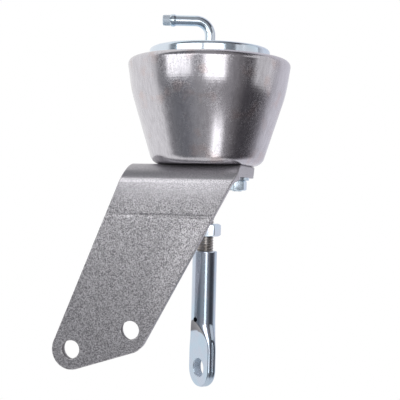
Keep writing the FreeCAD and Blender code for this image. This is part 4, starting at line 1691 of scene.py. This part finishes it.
def view_axes() -> tuple[np.ndarray, np.ndarray]:
    """Returns the level directions from the object to the camera and to the camera's right."""
    a = math.radians(CAMERA_AZIMUTH)
    return np.array((math.sin(a), -math.cos(a), 0)), np.array((math.cos(a), math.sin(a), 0))


@dataclass
class Studio:
    """Camera, floor and light: white all round but for the dark room behind the camera.

    The room's tones are given by azimuth in degrees, 0 towards the camera and positive to its right.
    """

    camera_distance: float = 452.0
    camera_lateral: float = -2.9
    camera_z: float = -16.5
    camera_roll: float = 1.4
    lens: float = 85.5
    floor_z: float = -283.0
    floor_r: float = 260.0
    tones: tuple[tuple[float, str], ...] = (
        (-180, "#FFFFFF"), (-73, "#FFFFFF"), (-66, "#8C8C8F"), (-52, "#7B7D81"), (-36, "#77797F"),
        (-24, "#95969A"), (-12, "#A6A6A8"), (6, "#A6A4A6"), (30, "#949295"), (42, "#737072"),
        (50, "#4A484C"), (68, "#474549"), (78, "#5A585C"), (87, "#8C8A90"), (94, "#CBCAD0"),
        (104, "#E8E7EE"), (130, "#E4E3EC"), (180, "#FFFFFF"))
    widening_low: float = -0.07
    widening_high: float = -0.15
    widening_slopes: tuple[float, float] = (-0.7, -0.2)
    floor_fade: tuple[float, float] = (0.5, 0.98)
    floor_lift: float = 0.6
    boxes: tuple[SoftBox, ...] = (
        SoftBox("window_left_low", 233.1, -204.0, -3, 60, 196, 2.3),
        SoftBox("window_middle_low", 314.4, 40.0, -28, 60, 158, 2.3),
        SoftBox("window_left_high", 242.6, -192.9, 75, 126, 271, 2.1),
        SoftBox("window_middle_high", 314.0, 43.0, 75, 126, 205, 2.1),
        SoftBox("strip_rod", 110.5, 31.7, -132, -28, 32, 1.6),
        SoftBox("strip_low", 300.0, 58.0, -181, -154, 96, 0.95),
        SoftBox("panel_right", 48.5, 306.2, -28, 300, 201, 0.72),
        SoftBox("panel_lid", 176.0, 255.0, 62, 160, 95, 0.7),
    )

    def add_camera(self) -> None:
        """Level camera, turned a little about its own axis as in the photograph."""
        towards, right = view_axes()
        up = np.array((0, 0, 1.0))
        roll = math.radians(self.camera_roll)
        x_axis = right * math.cos(roll) + up * math.sin(roll)
        y_axis = up * math.cos(roll) - right * math.sin(roll)
        turn = Matrix(np.stack([x_axis, y_axis, towards], axis=1).tolist())
        camera = new_object("camera", bpy.data.cameras.new("camera"))
        camera.data.lens = self.lens
        camera.data.sensor_width = 36.0
        camera.data.clip_start = 0.01
        camera.location = DATUM.place(towards * self.camera_distance + right * self.camera_lateral
                                      + up * self.camera_z)
        camera.rotation_euler = turn.to_euler()
        bpy.context.scene.camera = camera

    def add_floor(self) -> None:
        """Pale round floor well below the object, which fades out at its edge.

        The camera and reflections see it lifted towards white, so that it melts into the backdrop.
        """
        radius = np.linspace(0, self.floor_r, 24)[:, None]
        mesh = to_mesh("floor", [grid_surface(around(radius, full_turn(96), self.floor_z))])
        material = bpy.data.materials.new("pale_floor")
        tree = emptied_nodes(material)
        where = add_node(tree, "ShaderNodeTexCoord").outputs["Object"]
        middle = tuple(DATUM.place(np.array((0, 0, self.floor_z))))
        away = add_node(tree, "ShaderNodeVectorMath", {0: where, 1: middle}, operation="DISTANCE")
        fade_start, fade_end = [share * self.floor_r * MM for share in self.floor_fade]
        fade = add_node(tree, "ShaderNodeMapRange",
                        {0: away.outputs["Value"], 1: fade_start, 2: fade_end},
                        interpolation_type="SMOOTHSTEP")
        path = add_node(tree, "ShaderNodeLightPath")
        seen = add_node(tree, "ShaderNodeMath", {0: path.outputs["Is Camera Ray"],
                                                 1: path.outputs["Is Glossy Ray"]}, operation="MAXIMUM")
        lift = add_node(tree, "ShaderNodeMath", {0: seen, 1: self.floor_lift}, operation="MULTIPLY")
        matt = add_node(tree, "ShaderNodeBsdfDiffuse", {"Color": linear_colour("#F2F2F4")})
        white = add_node(tree, "ShaderNodeEmission", {"Color": (1, 1, 1, 1), "Strength": 1.0})
        lit = add_node(tree, "ShaderNodeMixShader", {0: lift, 1: matt, 2: white})
        clear = add_node(tree, "ShaderNodeBsdfTransparent")
        both = add_node(tree, "ShaderNodeMixShader", {0: fade, 1: lit, 2: clear})
        add_node(tree, "ShaderNodeOutputMaterial", {"Surface": both})
        mesh.materials.append(material)
        floor = new_object("floor", mesh)

    def add_surroundings(self) -> None:
        """World light by direction.

        The azimuth is the arc tangent of the part to the camera's right over the part towards the
        camera. The tones spread away from 0, and more so where the direction points less far down,
        because the room widens upwards. The camera itself sees white.
        """
        world = bpy.data.worlds.new("studio")
        bpy.context.scene.world = world
        tree = emptied_nodes(world)
        way = add_node(tree, "ShaderNodeTexCoord").outputs["Generated"]
        towards, right = view_axes()
        aside, ahead = [
            add_node(tree, "ShaderNodeVectorMath", {0: way, 1: tuple(axis)},
                     operation="DOT_PRODUCT").outputs["Value"]
            for axis in (right, towards)]
        upward = add_node(tree, "ShaderNodeSeparateXYZ", {0: way}).outputs["Z"]
        azimuth = add_node(tree, "ShaderNodeMath", {0: aside, 1: ahead}, operation="ARCTAN2")
        steep, shallow = self.widening_slopes
        widening = add_node(tree, "ShaderNodeMapRange", {0: upward, 1: steep, 2: shallow,
                                                         3: self.widening_low, 4: self.widening_high},
                            interpolation_type="SMOOTHSTEP")
        turned = add_node(tree, "ShaderNodeMath", {0: azimuth, 1: widening, 2: azimuth},
                          operation="MULTIPLY_ADD")
        share = add_node(tree, "ShaderNodeMapRange", {0: turned, 1: -math.pi, 2: math.pi})
        ramp = add_node(tree, "ShaderNodeValToRGB", {0: share})
        stops = ramp.color_ramp.elements
        while len(stops) < len(self.tones):
            stops.new(1.0)
        for stop, (degrees, code) in zip(stops, self.tones):
            stop.position = degrees / 360 + 0.5
            stop.color = linear_colour(code)
        path = add_node(tree, "ShaderNodeLightPath")
        shown = add_node(tree, "ShaderNodeMix", {0: path.outputs["Is Camera Ray"], 6: ramp,
                                                 7: (1, 1, 1, 1)}, data_type="RGBA")
        glow = add_node(tree, "ShaderNodeBackground", {"Color": shown.outputs[2], "Strength": 1.0})
        add_node(tree, "ShaderNodeOutputWorld", {"Surface": glow})

    def build(self) -> None:
        """Sets up the camera, the floor and all light."""
        bpy.context.scene.view_settings.view_transform = "Standard"
        self.add_camera()
        self.add_floor()
        self.add_surroundings()
        for box in self.boxes:
            box.add()


def main() -> None:
    """Builds the studio, every sub-assembly and the finishes of the inner pieces."""
    logging.basicConfig(level=logging.INFO, format="%(message)s")
    Studio().build()
    for group in (BracketPlate(), Canister(), HoseNipple(), StudFixings(), RodAndLocknut(), RodEnd(),
                  SpringAndDiaphragm()):
        group.build()
    dress_inner_nodes()


if __name__ == "__main__":
    main()
